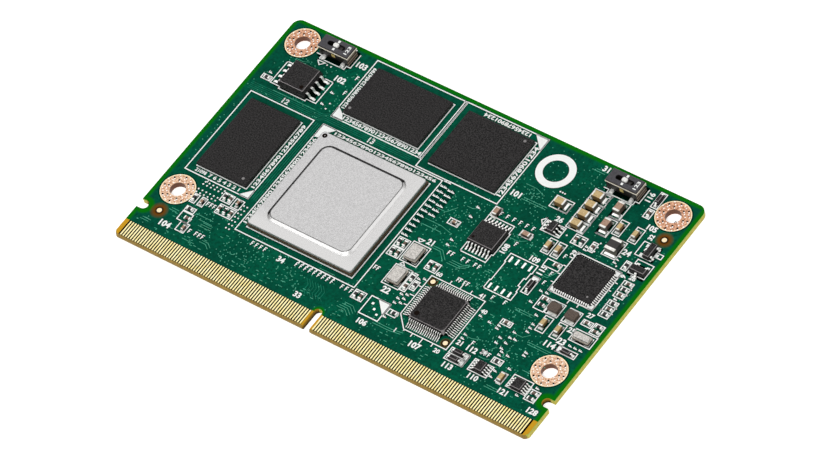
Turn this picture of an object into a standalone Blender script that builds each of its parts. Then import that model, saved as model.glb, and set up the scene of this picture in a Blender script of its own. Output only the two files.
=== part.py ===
"""Processor module: an 82 by 50 mm circuit board with a card edge, its chips, capacitors, crystals
and two slide switches. Lengths are in metres. The origin is under the middle of the board, with +X
along the card edge, +Y away from it and +Z out of the populated face."""

import math

import bmesh
import bpy
from mathutils import Vector

MM = 0.001

# Board
BOARD_LENGTH = 82.0 * MM
BOARD_WIDTH = 50.0 * MM
BOARD_THICKNESS = 1.2 * MM
COPPER_STEP = 0.05 * MM
REAR_CORNER_RADIUS = 1.5 * MM
FRONT_CORNER_CUT = 0.5 * MM
EDGE_CHAMFER_DEPTH = 0.25 * MM
EDGE_CHAMFER_RISE = 0.35 * MM
SIDE_NOTCH_WIDTH = 1.7 * MM
SIDE_NOTCH_DEPTH = 1.7 * MM
SIDE_NOTCH_FROM_FRONT = 7.0 * MM
ARC_STEPS = 6

# Card edge
KEY_FROM_LEFT = 39.0 * MM
KEY_WIDTH = 1.45 * MM
KEY_DEPTH = 4.15 * MM
FINGER_PITCH = 0.5 * MM
FINGER_WIDTH = 0.32 * MM
FINGER_LENGTH = 2.95 * MM
FINGER_FROM_FRONT = 0.3 * MM
FINGER_END_MARGIN_TOP = 1.2 * MM
FINGER_END_MARGIN_BOTTOM = 0.95 * MM
FINGER_KEY_GAP_TOP = 1.25 * MM
FINGER_KEY_GAP_BOTTOM = 1.0 * MM
FINGER_BURIED = 0.15 * MM

# Screw holes with their ring pads
HOLE_DIAMETER = 2.7 * MM
HOLE_PAD_DIAMETER = 6.0 * MM
HOLE_FROM_SIDE = 4.0 * MM
HOLE_FROM_FRONT = 12.1 * MM
HOLE_FROM_REAR = 3.9 * MM
ROUND_STEPS = 24

# Solder
SOLDER_FILM = 0.03 * MM
BALL_GAP = 0.25 * MM

# Processor
PROCESSOR_SIDE = 21.0 * MM
SUBSTRATE_HEIGHT = 0.45 * MM
LID_INSET = 0.08 * MM
LID_GLUE = 0.05 * MM
LID_SHEET = 0.5 * MM
LID_RISE = 0.5 * MM
LID_CORNER_RADIUS = 0.5 * MM
PLATEAU_INSET = 1.97 * MM
PLATEAU_SLOPE = 0.35 * MM
PLATEAU_CORNER_RADIUS = 1.6 * MM
LID_EDGE_ROUNDING = 0.08 * MM
CAVITY_INSET = 2.9 * MM
DIE_SIDE = 9.5 * MM
THERMAL_FILM = 0.05 * MM

# Ball grid packages
MEMORY_LONG = 15.0 * MM
MEMORY_SHORT = 10.0 * MM
MEMORY_HEIGHT = 0.55 * MM
STORAGE_LENGTH = 13.0 * MM
STORAGE_WIDTH = 11.5 * MM
STORAGE_HEIGHT = 0.58 * MM
MOULD_CHAMFER = 0.06 * MM

# Packages with leads: body length along X, body width along Y, and the span over opposite leads
MOULD_DRAFT = 0.12 * MM
MOULD_TOP_BEVEL = 0.08 * MM
LEAD_BITE = 0.15 * MM
LEAD_THICKNESS = 0.15 * MM
PACKAGE_STANDOFF = 0.05 * MM
FLASH_SIDE = 5.25 * MM
FLASH_HEIGHT = 1.75 * MM
FLASH_DRAFT = 0.2 * MM
FLASH_SPAN = 7.9 * MM
FLASH_LEAD_PITCH = 1.27 * MM
FLASH_LEAD_WIDTH = 0.42 * MM
INTERFACE_LENGTH = 5.0 * MM
INTERFACE_WIDTH = 4.4 * MM
INTERFACE_HEIGHT = 0.95 * MM
INTERFACE_SPAN = 6.4 * MM
INTERFACE_LEAD_PITCH = 0.65 * MM
INTERFACE_LEAD_WIDTH = 0.24 * MM
CONTROLLER_SIDE = 7.0 * MM
CONTROLLER_HEIGHT = 1.0 * MM
CONTROLLER_SPAN = 9.0 * MM
CONTROLLER_LEAD_PITCH = 0.4 * MM
CONTROLLER_LEAD_WIDTH = 0.18 * MM
POWER_MANAGER_SIDE = 7.0 * MM
POWER_MANAGER_HEIGHT = 0.65 * MM

# Small packages: body length, body width, span, leads on each side and their pitch
TRANSISTOR_ARRAY = (1.35 * MM, 2.1 * MM, 2.9 * MM, 3, 0.7 * MM)
PROTECTION_LEFT = (1.6 * MM, 2.0 * MM, 3.0 * MM, 4, 0.5 * MM)
PROTECTION_RIGHT = (2.0 * MM, 2.1 * MM, 3.2 * MM, 4, 0.5 * MM)
SMALL_PACKAGE_HEIGHT = 0.85 * MM
SMALL_PACKAGE_LEAD_WIDTH = 0.22 * MM
TRANSISTOR_LENGTH = 2.9 * MM
TRANSISTOR_WIDTH = 1.3 * MM
TRANSISTOR_HEIGHT = 0.9 * MM
TRANSISTOR_SPAN = 2.4 * MM
TRANSISTOR_LEAD_PITCH = 1.9 * MM
TRANSISTOR_LEAD_WIDTH = 0.4 * MM
DIODE_LENGTH = 1.7 * MM
DIODE_WIDTH = 0.85 * MM
DIODE_HEIGHT = 0.7 * MM
DIODE_SPAN = 2.6 * MM
DIODE_LEAD_WIDTH = 0.35 * MM

# Chip parts: length, width, height, length of each metal end
CAP_0805 = (2.0 * MM, 1.25 * MM, 1.2 * MM, 0.4 * MM)
CAP_0603 = (1.6 * MM, 0.82 * MM, 0.8 * MM, 0.3 * MM)
CAP_0402 = (1.0 * MM, 0.5 * MM, 0.5 * MM, 0.22 * MM)
TERMINAL_WRAP = 0.02 * MM
CAP_ROW_GAP = 0.8 * MM

# Inductors
LARGE_INDUCTOR = (2.5 * MM, 2.0 * MM, 1.3 * MM, 0.55 * MM)
SMALL_INDUCTOR = (2.0 * MM, 1.6 * MM, 0.9 * MM)
SMALL_INDUCTOR_CORNER = 0.2 * MM
INDUCTOR_FOOT = 0.12 * MM

# Crystals
CRYSTAL_LONG = 3.2 * MM
CRYSTAL_SHORT = 2.5 * MM
SLIM_CRYSTAL_SHORT = 1.5 * MM
CRYSTAL_BASE_HEIGHT = 0.42 * MM
CRYSTAL_LID_HEIGHT = 0.3 * MM
CRYSTAL_LID_INSET = 0.17 * MM
CRYSTAL_CORNER_RADIUS = 0.25 * MM
CRYSTAL_SEAM = 0.03 * MM

# Slide switches
SWITCH_LENGTH = 5.95 * MM
SWITCH_WIDTH = 2.5 * MM
SWITCH_BASE_HEIGHT = 1.75 * MM
SWITCH_COVER_HEIGHT = 0.5 * MM
SWITCH_SEAM = 0.03 * MM
SWITCH_FOOT = 0.1 * MM
SWITCH_TRAVEL = 1.2 * MM
SWITCH_RUNNING_GAP = 0.08 * MM
SLIDER_FLANGE_LENGTH = 1.9 * MM
SLIDER_FLANGE_WIDTH = 1.5 * MM
SLIDER_FLANGE_HEIGHT = 0.6 * MM
KNOB_LENGTH = 0.95 * MM
KNOB_WIDTH = 0.75 * MM
KNOB_ABOVE_COVER = 0.35 * MM
KNOB_ROUNDING = 0.12 * MM
SWITCH_TERMINAL_WIDTH = 0.5 * MM
SWITCH_TERMINAL_THICKNESS = 0.15 * MM
SWITCH_TERMINAL_REACH = 0.65 * MM
SWITCH_TERMINAL_FROM_MIDDLE = 1.9 * MM

# Small parts that the board carries as one with it
SMALL_PART_LENGTH = 1.0 * MM
SMALL_PART_WIDTH = 0.5 * MM
SMALL_PART_HEIGHT = 0.4 * MM
SMALL_PART_BURIED = 0.1 * MM

BOARD_TOP = BOARD_THICKNESS
MASK_TOP = BOARD_THICKNESS - COPPER_STEP
MASK_BOTTOM = COPPER_STEP
SEAT = BOARD_TOP + SOLDER_FILM

# The layout drawing: places are given on it from the card edge's left corner, in millimetres, and
# follow the board's outline.
LAYOUT_LENGTH = 82.0
LAYOUT_WIDTH = 50.0

MATERIALS = {
    "board_mask": ((0.0, 0.11, 0.055), 0.35, 0.0),
    "lid_metal": ((0.62, 0.61, 0.59), 0.38, 1.0),
    "substrate": ((0.06, 0.045, 0.035), 0.5, 0.0),
    "silicon": ((0.18, 0.19, 0.21), 0.2, 0.0),
    "mould": ((0.035, 0.032, 0.032), 0.6, 0.0),
    "capacitor_tan": ((0.55, 0.4, 0.2), 0.5, 0.0),
    "inductor_brown": ((0.09, 0.065, 0.05), 0.6, 0.0),
    "crystal_ceramic": ((0.3, 0.26, 0.2), 0.5, 0.0),
    "crystal_lid": ((0.7, 0.68, 0.64), 0.3, 1.0),
    "switch_base": ((0.12, 0.1, 0.08), 0.55, 0.0),
    "switch_cover": ((0.07, 0.065, 0.075), 0.5, 0.0),
    "switch_lever": ((0.85, 0.85, 0.82), 0.4, 0.0),
}


def clear_scene():
    for obj in list(bpy.data.objects):
        bpy.data.objects.remove(obj, do_unlink=True)


def material(name):
    found = bpy.data.materials.get(name)
    if found:
        return found
    colour, roughness, metallic = MATERIALS[name]
    made = bpy.data.materials.new(name)
    made.use_nodes = True
    shader = made.node_tree.nodes["Principled BSDF"]
    shader.inputs["Base Color"].default_value = (*colour, 1.0)
    shader.inputs["Roughness"].default_value = roughness
    shader.inputs["Metallic"].default_value = metallic
    made.diffuse_color = (*colour, 1.0)
    return made


def spot(x, y):
    """A place on the layout drawing as a point of the part, at board level."""
    return Vector(((x / LAYOUT_LENGTH - 0.5) * BOARD_LENGTH, (y / LAYOUT_WIDTH - 0.5) * BOARD_WIDTH, 0.0))


def piece(name, bm, material_name, place=None, turned=False, smooth=False):
    """A named object from a bmesh that is built round its own origin."""
    bmesh.ops.recalc_face_normals(bm, faces=bm.faces)
    mesh = bpy.data.meshes.new(name)
    bm.to_mesh(mesh)
    bm.free()
    mesh.materials.append(material(material_name))
    if smooth:
        mesh.shade_smooth()
        mesh.set_sharp_from_angle(angle=math.radians(30))
    obj = bpy.data.objects.new(name, mesh)
    bpy.context.scene.collection.objects.link(obj)
    obj.location = place or (0.0, 0.0, 0.0)
    obj.rotation_euler[2] = math.pi / 2 if turned else 0.0
    return obj


def helper(name, bm):
    """A hidden solid that a Boolean joins or cuts."""
    obj = piece(name, bm, "mould")
    obj.hide_render = True
    obj.display_type = "WIRE"
    return obj


def combine(obj, other, operation):
    """Joins the other solid to the object, or cuts it away."""
    other.location = obj.location
    other.rotation_euler = obj.rotation_euler
    modifier = obj.modifiers.new(other.name, "BOOLEAN")
    modifier.operation = operation
    modifier.solver = "EXACT"
    modifier.object = other


def loft(bm, loops, closed_ends=True):
    """Skins a stack of closed loops, each a list of points with the same count, and caps its ends."""
    rings = [[bm.verts.new(point) for point in loop] for loop in loops]
    for lower, upper in zip(rings, rings[1:]):
        for i in range(len(lower)):
            j = (i + 1) % len(lower)
            bm.faces.new((lower[i], lower[j], upper[j], upper[i]))
    if closed_ends:
        bm.faces.new(list(reversed(rings[0])))
        bm.faces.new(rings[-1])


def at_height(outline, z):
    return [(x, y, z) for x, y in outline]


def rectangle(length, width, centre=(0.0, 0.0)):
    cx, cy = centre
    return [
        (cx - length / 2, cy - width / 2),
        (cx + length / 2, cy - width / 2),
        (cx + length / 2, cy + width / 2),
        (cx - length / 2, cy + width / 2),
    ]


def arc(cx, cy, radius, start, end, steps):
    """Points along an arc, both ends included, angles in degrees."""
    turns = [math.radians(start + (end - start) * i / steps) for i in range(steps + 1)]
    return [(cx + radius * math.cos(t), cy + radius * math.sin(t)) for t in turns]


def rounded_rectangle(length, width, radius, steps=4):
    x, y = length / 2 - radius, width / 2 - radius
    corners = ((-x, -y, 180), (x, -y, 270), (x, y, 0), (-x, y, 90))
    return [p for cx, cy, start in corners for p in arc(cx, cy, radius, start, start + 90, steps)]


def block(bm, length, width, low, high, centre=(0.0, 0.0), chamfer=0.0):
    """A box, with its upper edges chamfered where a chamfer is given."""
    base = rectangle(length, width, centre)
    loops = [at_height(base, low)]
    if chamfer:
        loops.append(at_height(base, high - chamfer))
        base = rectangle(length - 2 * chamfer, width - 2 * chamfer, centre)
    loops.append(at_height(base, high))
    loft(bm, loops)


def drum(bm, diameter, low, high, centre):
    cx, cy = centre[0], centre[1]
    outline = arc(cx, cy, diameter / 2, 0, 360, ROUND_STEPS)[:-1]
    loft(bm, [at_height(outline, low), at_height(outline, high)])


def hole_centres():
    x = BOARD_LENGTH / 2 - HOLE_FROM_SIDE
    front = HOLE_FROM_FRONT - BOARD_WIDTH / 2
    rear = BOARD_WIDTH / 2 - HOLE_FROM_REAR
    return [(-x, front), (x, front), (x, rear), (-x, rear)]


def board_outline(front_step):
    """The board's outline anticlockwise, with its card edge set back by a step."""
    half_x, half_y = BOARD_LENGTH / 2, BOARD_WIDTH / 2
    front = front_step - half_y
    cut = FRONT_CORNER_CUT
    key_x = KEY_FROM_LEFT - half_x
    key_r = KEY_WIDTH / 2
    key_y = KEY_DEPTH - key_r - half_y
    notch_r = SIDE_NOTCH_WIDTH / 2
    notch_y = SIDE_NOTCH_FROM_FRONT - half_y
    notch_x = half_x - SIDE_NOTCH_DEPTH + notch_r
    rear_r = REAR_CORNER_RADIUS
    points = [(-half_x + cut, front), (key_x - key_r, front)]
    points += arc(key_x, key_y, key_r, 180, 0, 2 * ARC_STEPS)
    points += [(key_x + key_r, front), (half_x - cut, front), (half_x, front + cut)]
    points += [(half_x, notch_y - notch_r)]
    points += arc(notch_x, notch_y, notch_r, 270, 90, ARC_STEPS)
    points += [(half_x, notch_y + notch_r)]
    points += arc(half_x - rear_r, half_y - rear_r, rear_r, 0, 90, ARC_STEPS)
    points += arc(-half_x + rear_r, half_y - rear_r, rear_r, 90, 180, ARC_STEPS)
    points += [(-half_x, notch_y + notch_r)]
    points += arc(-notch_x, notch_y, notch_r, 90, -90, ARC_STEPS)
    points += [(-half_x, notch_y - notch_r), (-half_x, front + cut)]
    return points


def finger_places(key_gap, end_margin):
    """Middles of the contact fingers along X, counted out from the key slot to both ends."""
    key_x = KEY_FROM_LEFT - BOARD_LENGTH / 2
    places = []
    for side in (-1, 1):
        room = BOARD_LENGTH / 2 - side * key_x - end_margin - key_gap
        count = int(room / FINGER_PITCH + 1e-6) + 1
        places += [key_x + side * (key_gap + i * FINGER_PITCH) for i in range(count)]
    return places


def board_copper():
    """The contact fingers on both faces and the ring pads, which stand a little above the mask."""
    bm = bmesh.new()
    middle_y = FINGER_FROM_FRONT + FINGER_LENGTH / 2 - BOARD_WIDTH / 2
    faces = (
        (FINGER_KEY_GAP_TOP, FINGER_END_MARGIN_TOP, MASK_TOP - FINGER_BURIED, BOARD_TOP),
        (FINGER_KEY_GAP_BOTTOM, FINGER_END_MARGIN_BOTTOM, 0.0, MASK_BOTTOM + FINGER_BURIED),
    )
    for key_gap, end_margin, low, high in faces:
        for x in finger_places(key_gap, end_margin):
            block(bm, FINGER_WIDTH, FINGER_LENGTH, low, high, (x, middle_y))
    for centre in hole_centres():
        drum(bm, HOLE_PAD_DIAMETER, 0.0, BOARD_TOP, centre)
    return helper("board_copper_form", bm)


# Small resistors and capacitors on the layout drawing, with the way each lies
SMALL_PARTS_ALONG_X = (
    (8.3, 9.8), (9.1, 8.1), (50.0, 9.1), (66.8, 16.3), (69.8, 9.5), (78.5, 7.35), (78.5, 6.3),
    (79.5, 31.6), (79.5, 30.4), (79.5, 29.3), (79.5, 27.4), (79.5, 26.2), (79.5, 25.1),
    (69.6, 23.0), (69.6, 21.8), (78.0, 22.35), (80.1, 22.6), (80.1, 21.6), (3.1, 37.5),
    (67.3, 29.2),
)
SMALL_PARTS_ALONG_Y = (
    (7.5, 12.0), (12.6, 12.2), (13.7, 12.2), (14.8, 12.2), (12.0, 14.6), (13.0, 14.6),
    (42.3, 9.2), (43.3, 9.2), (42.4, 21.0), (43.4, 21.0), (42.4, 19.0), (43.4, 19.0),
    (49.4, 19.6), (50.5, 19.6), (48.4, 16.2), (48.4, 14.3), (49.6, 15.2),
    (67.1, 34.9), (68.2, 34.9), (70.3, 34.9), (77.1, 34.5), (74.4, 44.6),
)


def small_parts():
    bm = bmesh.new()
    low, high = MASK_TOP - SMALL_PART_BURIED, BOARD_TOP + SMALL_PART_HEIGHT
    for x, y in SMALL_PARTS_ALONG_X:
        block(bm, SMALL_PART_LENGTH, SMALL_PART_WIDTH, low, high, spot(x, y)[:2])
    for x, y in SMALL_PARTS_ALONG_Y:
        block(bm, SMALL_PART_WIDTH, SMALL_PART_LENGTH, low, high, spot(x, y)[:2])
    return helper("small_parts_form", bm)


def screw_hole_cutters():
    bm = bmesh.new()
    for centre in hole_centres():
        drum(bm, HOLE_DIAMETER, -BOARD_THICKNESS, 2 * BOARD_THICKNESS, centre)
    return helper("screw_hole_cutters", bm)


def circuit_board():
    """The laminate with its chamfered card edge, key slot, side notches and screw holes."""
    bm = bmesh.new()
    back, square = board_outline(EDGE_CHAMFER_DEPTH), board_outline(0.0)
    levels = (
        (back, MASK_BOTTOM),
        (square, MASK_BOTTOM + EDGE_CHAMFER_RISE),
        (square, MASK_TOP - EDGE_CHAMFER_RISE),
        (back, MASK_TOP),
    )
    loft(bm, [at_height(outline, z) for outline, z in levels])
    board = piece("circuit_board", bm, "board_mask")
    combine(board, board_copper(), "UNION")
    combine(board, small_parts(), "UNION")
    combine(board, screw_hole_cutters(), "DIFFERENCE")


def processor():
    """A flip chip package: substrate on solder balls, silicon die, and a stamped metal lid."""
    place = spot(29.25, 22.05)
    substrate_top = BOARD_TOP + BALL_GAP + SUBSTRATE_HEIGHT
    bm = bmesh.new()
    block(bm, PROCESSOR_SIDE, PROCESSOR_SIDE, BOARD_TOP + BALL_GAP, substrate_top)
    piece("processor_substrate", bm, "substrate", place)

    lid_bottom = substrate_top + LID_GLUE
    ceiling = lid_bottom + LID_RISE
    bm = bmesh.new()
    block(bm, DIE_SIDE, DIE_SIDE, substrate_top + SOLDER_FILM, ceiling - THERMAL_FILM)
    piece("processor_die", bm, "silicon", place)

    flange_top = lid_bottom + LID_SHEET
    lid_top = flange_top + LID_RISE
    side = PROCESSOR_SIDE - 2 * LID_INSET
    foot = side - 2 * PLATEAU_INSET
    crown = foot - 2 * PLATEAU_SLOPE
    cavity = side - 2 * CAVITY_INSET
    edge = LID_EDGE_ROUNDING

    def square(length, radius):
        return rounded_rectangle(length, length, radius)

    bm = bmesh.new()
    loft(bm, [
        at_height(square(cavity, PLATEAU_CORNER_RADIUS), ceiling),
        at_height(square(cavity, PLATEAU_CORNER_RADIUS), lid_bottom),
        at_height(square(side, LID_CORNER_RADIUS), lid_bottom),
        at_height(square(side, LID_CORNER_RADIUS), flange_top - edge),
        at_height(square(side - 2 * edge, LID_CORNER_RADIUS - edge), flange_top),
        at_height(square(foot, PLATEAU_CORNER_RADIUS), flange_top),
        at_height(square(crown + 2 * edge, PLATEAU_CORNER_RADIUS - PLATEAU_SLOPE), lid_top - edge),
        at_height(square(crown, PLATEAU_CORNER_RADIUS - PLATEAU_SLOPE - edge), lid_top),
    ])
    piece("processor_lid", bm, "lid_metal", place, smooth=True)


def ball_grid_chip(name, x, y, length, width, height):
    bm = bmesh.new()
    low = BOARD_TOP + BALL_GAP
    block(bm, length, width, low, low + height, chamfer=MOULD_CHAMFER)
    piece(name, bm, "mould", spot(x, y))


def lead_profile(reach, foot, thickness, root_height, inside):
    """A gull wing lead in its own plane: out of the body, down, and along the board."""
    half = thickness / 2
    bend = reach - foot
    return [
        (-inside, root_height - half),
        (bend * 0.35, root_height - half),
        (bend - half, 0.0),
        (reach, 0.0),
        (reach, thickness),
        (bend + half, thickness),
        (bend * 0.35 + thickness, root_height + half),
        (-inside, root_height + half),
    ]


def add_lead(bm, root, outward, width, profile, base):
    """A lead of this profile whose middle leaves the body at root, towards outward."""
    across = Vector((-outward.y, outward.x, 0.0)) * (width / 2)
    loops = []
    for side in (-1, 1):
        loops.append([
            tuple(Vector((root[0], root[1], base)) + outward * u + across * side + Vector((0, 0, v)))
            for u, v in profile
        ])
    loft(bm, loops)


def lead_row(bm, count, pitch, body, outward, width, profile, base):
    """Leads in a row along one side of a body (length, width), evenly about its middle."""
    reach = Vector((outward.x * body[0] / 2, outward.y * body[1] / 2, 0.0))
    along = Vector((-outward.y, outward.x, 0.0))
    for i in range(count):
        root = reach + along * ((i - (count - 1) / 2) * pitch)
        add_lead(bm, root, outward, width, profile, base)


def leaded_chip(name, x, y, body, height, span, rows, turned=False, draft=MOULD_DRAFT):
    """A moulded package of body (length, width) with gull wing leads.

    rows holds (outward direction, lead count, pitch, lead width), and span is the distance between
    the tips of opposite leads. The sides lean in by the draft on both sides of the parting line, and
    the upper edges are bevelled.
    """
    low = SEAT + PACKAGE_STANDOFF
    high = low + height
    parting = (low + high) / 2
    bevel = MOULD_TOP_BEVEL
    bm = bmesh.new()
    length, width = body
    loft(bm, [
        at_height(rectangle(length - draft, width - draft), low),
        at_height(rectangle(length, width), parting),
        at_height(rectangle(length - 2 * draft, width - 2 * draft), high - bevel),
        at_height(rectangle(length - 2 * draft - 2 * bevel, width - 2 * draft - 2 * bevel), high),
    ])
    chip = piece(name, bm, "mould", spot(x, y), turned)
    leads = bmesh.new()
    for outward, count, pitch, lead_width in rows:
        direction = Vector((*outward, 0.0))
        across_body = length if outward[0] else width
        reach = (span - across_body) / 2
        profile = lead_profile(reach, reach * 0.5, LEAD_THICKNESS, parting - SEAT, LEAD_BITE)
        lead_row(leads, count, pitch, body, direction, lead_width, profile, SEAT)
    combine(chip, helper(name + "_leads_form", leads), "UNION")


def no_lead_chip(name, x, y, side, height):
    """A flat package whose contacts end flush with its sides."""
    bm = bmesh.new()
    block(bm, side, side, SEAT, SEAT + height, chamfer=MOULD_CHAMFER)
    piece(name, bm, "mould", spot(x, y))


def chip_capacitor(name, place, size, turned=False, material_name="capacitor_tan"):
    """A ceramic block between two metal ends that wrap a little over it, lying along X."""
    length, width, height, end = size
    wrap = TERMINAL_WRAP
    stations = (
        (-length / 2, 0.0),
        (-length / 2 + end, 0.0),
        (-length / 2 + end, wrap),
        (length / 2 - end, wrap),
        (length / 2 - end, 0.0),
        (length / 2, 0.0),
    )
    bm = bmesh.new()
    loft(bm, [
        [
            (x, -width / 2 + inset, SEAT + inset),
            (x, width / 2 - inset, SEAT + inset),
            (x, width / 2 - inset, SEAT + height - inset),
            (x, -width / 2 + inset, SEAT + height - inset),
        ]
        for x, inset in stations
    ])
    piece(name, bm, material_name, place, turned)


def power_inductor(name, x, y):
    """A moulded inductor on two flat feet that fold under its ends, front and rear."""
    length, width, height = SMALL_INDUCTOR
    bm = bmesh.new()
    body = rounded_rectangle(length, width, SMALL_INDUCTOR_CORNER, 2)
    crown = rounded_rectangle(length - 2 * MOULD_CHAMFER, width - 2 * MOULD_CHAMFER, SMALL_INDUCTOR_CORNER, 2)
    low = SEAT + INDUCTOR_FOOT
    loft(bm, [
        at_height(body, low),
        at_height(body, SEAT + height - MOULD_CHAMFER),
        at_height(crown, SEAT + height),
    ])
    inductor = piece(name, bm, "inductor_brown", spot(x, y))
    feet = bmesh.new()
    foot_width = width / 4
    for side in (-1, 1):
        middle = side * (width / 2 - foot_width / 2 + MOULD_CHAMFER)
        block(feet, length * 0.8, foot_width, SEAT, low + INDUCTOR_FOOT, (0.0, middle))
    combine(inductor, helper(name + "_feet_form", feet), "UNION")


def crystal(name, x, y, short, turned):
    """A ceramic base with a seam-welded metal lid, its long side along X before turning."""
    place = spot(x, y)
    base_top = SEAT + CRYSTAL_BASE_HEIGHT
    base = rounded_rectangle(CRYSTAL_LONG, short, CRYSTAL_CORNER_RADIUS, 2)
    bm = bmesh.new()
    loft(bm, [at_height(base, SEAT), at_height(base, base_top)])
    piece(name + "_base", bm, "crystal_ceramic", place, turned)
    lid_low = base_top + CRYSTAL_SEAM
    lid_high = lid_low + CRYSTAL_LID_HEIGHT
    inset = CRYSTAL_LID_INSET

    def lid_outline(step):
        return rounded_rectangle(CRYSTAL_LONG - 2 * step, short - 2 * step, CRYSTAL_CORNER_RADIUS, 2)

    bm = bmesh.new()
    loft(bm, [
        at_height(lid_outline(inset * 0.5), lid_low),
        at_height(lid_outline(inset * 0.5), lid_low + CRYSTAL_LID_HEIGHT * 0.3),
        at_height(lid_outline(inset), lid_low + CRYSTAL_LID_HEIGHT * 0.3),
        at_height(lid_outline(inset + MOULD_CHAMFER), lid_high),
    ])
    piece(name + "_lid", bm, "crystal_lid", place, turned)


def slot_outline(length, width):
    """A slot with round ends."""
    return rounded_rectangle(length, width, width / 2 * 0.999, 5)


def slide_switch(side, x, y):
    """A slide switch: base with its terminals, slotted cover, and the lever that slides along X."""
    place = spot(x, y)
    base_low = SEAT + SWITCH_FOOT
    base_top = SEAT + SWITCH_BASE_HEIGHT
    cover_low = base_top + SWITCH_SEAM
    cover_top = cover_low + SWITCH_COVER_HEIGHT
    gap = SWITCH_RUNNING_GAP
    reach = 2 * (SWITCH_TRAVEL + gap)
    pocket = (SLIDER_FLANGE_LENGTH + reach, SLIDER_FLANGE_WIDTH + 2 * gap)
    pocket_floor = base_top - SLIDER_FLANGE_HEIGHT - 2 * gap

    bm = bmesh.new()
    block(bm, SWITCH_LENGTH, SWITCH_WIDTH, base_low, base_top)
    base = piece(f"switch_{side}_base", bm, "switch_base", place)
    terminals = bmesh.new()
    terminal_y = SWITCH_WIDTH / 2 + SWITCH_TERMINAL_REACH / 2 - SWITCH_TERMINAL_THICKNESS
    for along in (-1, 1):
        for across in (-1, 1):
            middle = (along * SWITCH_TERMINAL_FROM_MIDDLE, across * terminal_y)
            top = base_low + SWITCH_TERMINAL_THICKNESS
            block(terminals, SWITCH_TERMINAL_WIDTH, SWITCH_TERMINAL_REACH, SEAT, top, middle)
    combine(base, helper(f"switch_{side}_terminals_form", terminals), "UNION")
    cutter = bmesh.new()
    block(cutter, pocket[0], pocket[1], pocket_floor, base_top + SWITCH_COVER_HEIGHT)
    combine(base, helper(f"switch_{side}_pocket_cutter", cutter), "DIFFERENCE")

    bm = bmesh.new()
    block(bm, SWITCH_LENGTH, SWITCH_WIDTH, cover_low, cover_top, chamfer=MOULD_CHAMFER)
    cover = piece(f"switch_{side}_cover", bm, "switch_cover", place)
    cutter = bmesh.new()
    slot = slot_outline(KNOB_LENGTH + reach, KNOB_WIDTH + 2 * gap)
    below, above = cover_low - SWITCH_COVER_HEIGHT, cover_top + SWITCH_COVER_HEIGHT
    loft(cutter, [at_height(slot, below), at_height(slot, above)])
    combine(cover, helper(f"switch_{side}_slot_cutter", cutter), "DIFFERENCE")

    flange_low = pocket_floor + gap
    flange_top = flange_low + SLIDER_FLANGE_HEIGHT
    knob_top = cover_top + KNOB_ABOVE_COVER
    rounding = KNOB_ROUNDING
    bm = bmesh.new()
    knob = rectangle(KNOB_LENGTH, KNOB_WIDTH)
    crown = rectangle(KNOB_LENGTH - 2 * rounding, KNOB_WIDTH - 2 * rounding)
    flange = rectangle(SLIDER_FLANGE_LENGTH, SLIDER_FLANGE_WIDTH)
    loft(bm, [
        at_height(flange, flange_low),
        at_height(flange, flange_top),
        at_height(knob, flange_top),
        at_height(knob, knob_top - rounding),
        at_height(crown, knob_top),
    ])
    piece(f"switch_{side}_lever", bm, "switch_lever", place)


def chips():
    ball_grid_chip("memory_left", 8.87, 25.0, MEMORY_SHORT, MEMORY_LONG, MEMORY_HEIGHT)
    ball_grid_chip("memory_rear", 26.33, 42.45, MEMORY_LONG, MEMORY_SHORT, MEMORY_HEIGHT)
    ball_grid_chip("storage_chip", 43.7, 41.65, STORAGE_LENGTH, STORAGE_WIDTH, STORAGE_HEIGHT)
    no_lead_chip("power_manager", 72.98, 28.84, POWER_MANAGER_SIDE, POWER_MANAGER_HEIGHT)
    left_and_right = ((1, 0), (-1, 0))
    front_and_rear = ((0, 1), (0, -1))
    leaded_chip(
        "boot_flash", 8.82, 39.35, (FLASH_SIDE, FLASH_SIDE), FLASH_HEIGHT, FLASH_SPAN,
        [(side, 4, FLASH_LEAD_PITCH, FLASH_LEAD_WIDTH) for side in left_and_right], draft=FLASH_DRAFT,
    )
    leaded_chip(
        "interface_chip", 54.5, 28.35, (INTERFACE_LENGTH, INTERFACE_WIDTH), INTERFACE_HEIGHT, INTERFACE_SPAN,
        [(side, 7, INTERFACE_LEAD_PITCH, INTERFACE_LEAD_WIDTH) for side in front_and_rear],
    )
    leaded_chip(
        "controller_chip", 56.1, 12.85, (CONTROLLER_SIDE, CONTROLLER_SIDE), CONTROLLER_HEIGHT, CONTROLLER_SPAN,
        [(side, 16, CONTROLLER_LEAD_PITCH, CONTROLLER_LEAD_WIDTH) for side in left_and_right + front_and_rear],
    )


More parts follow.
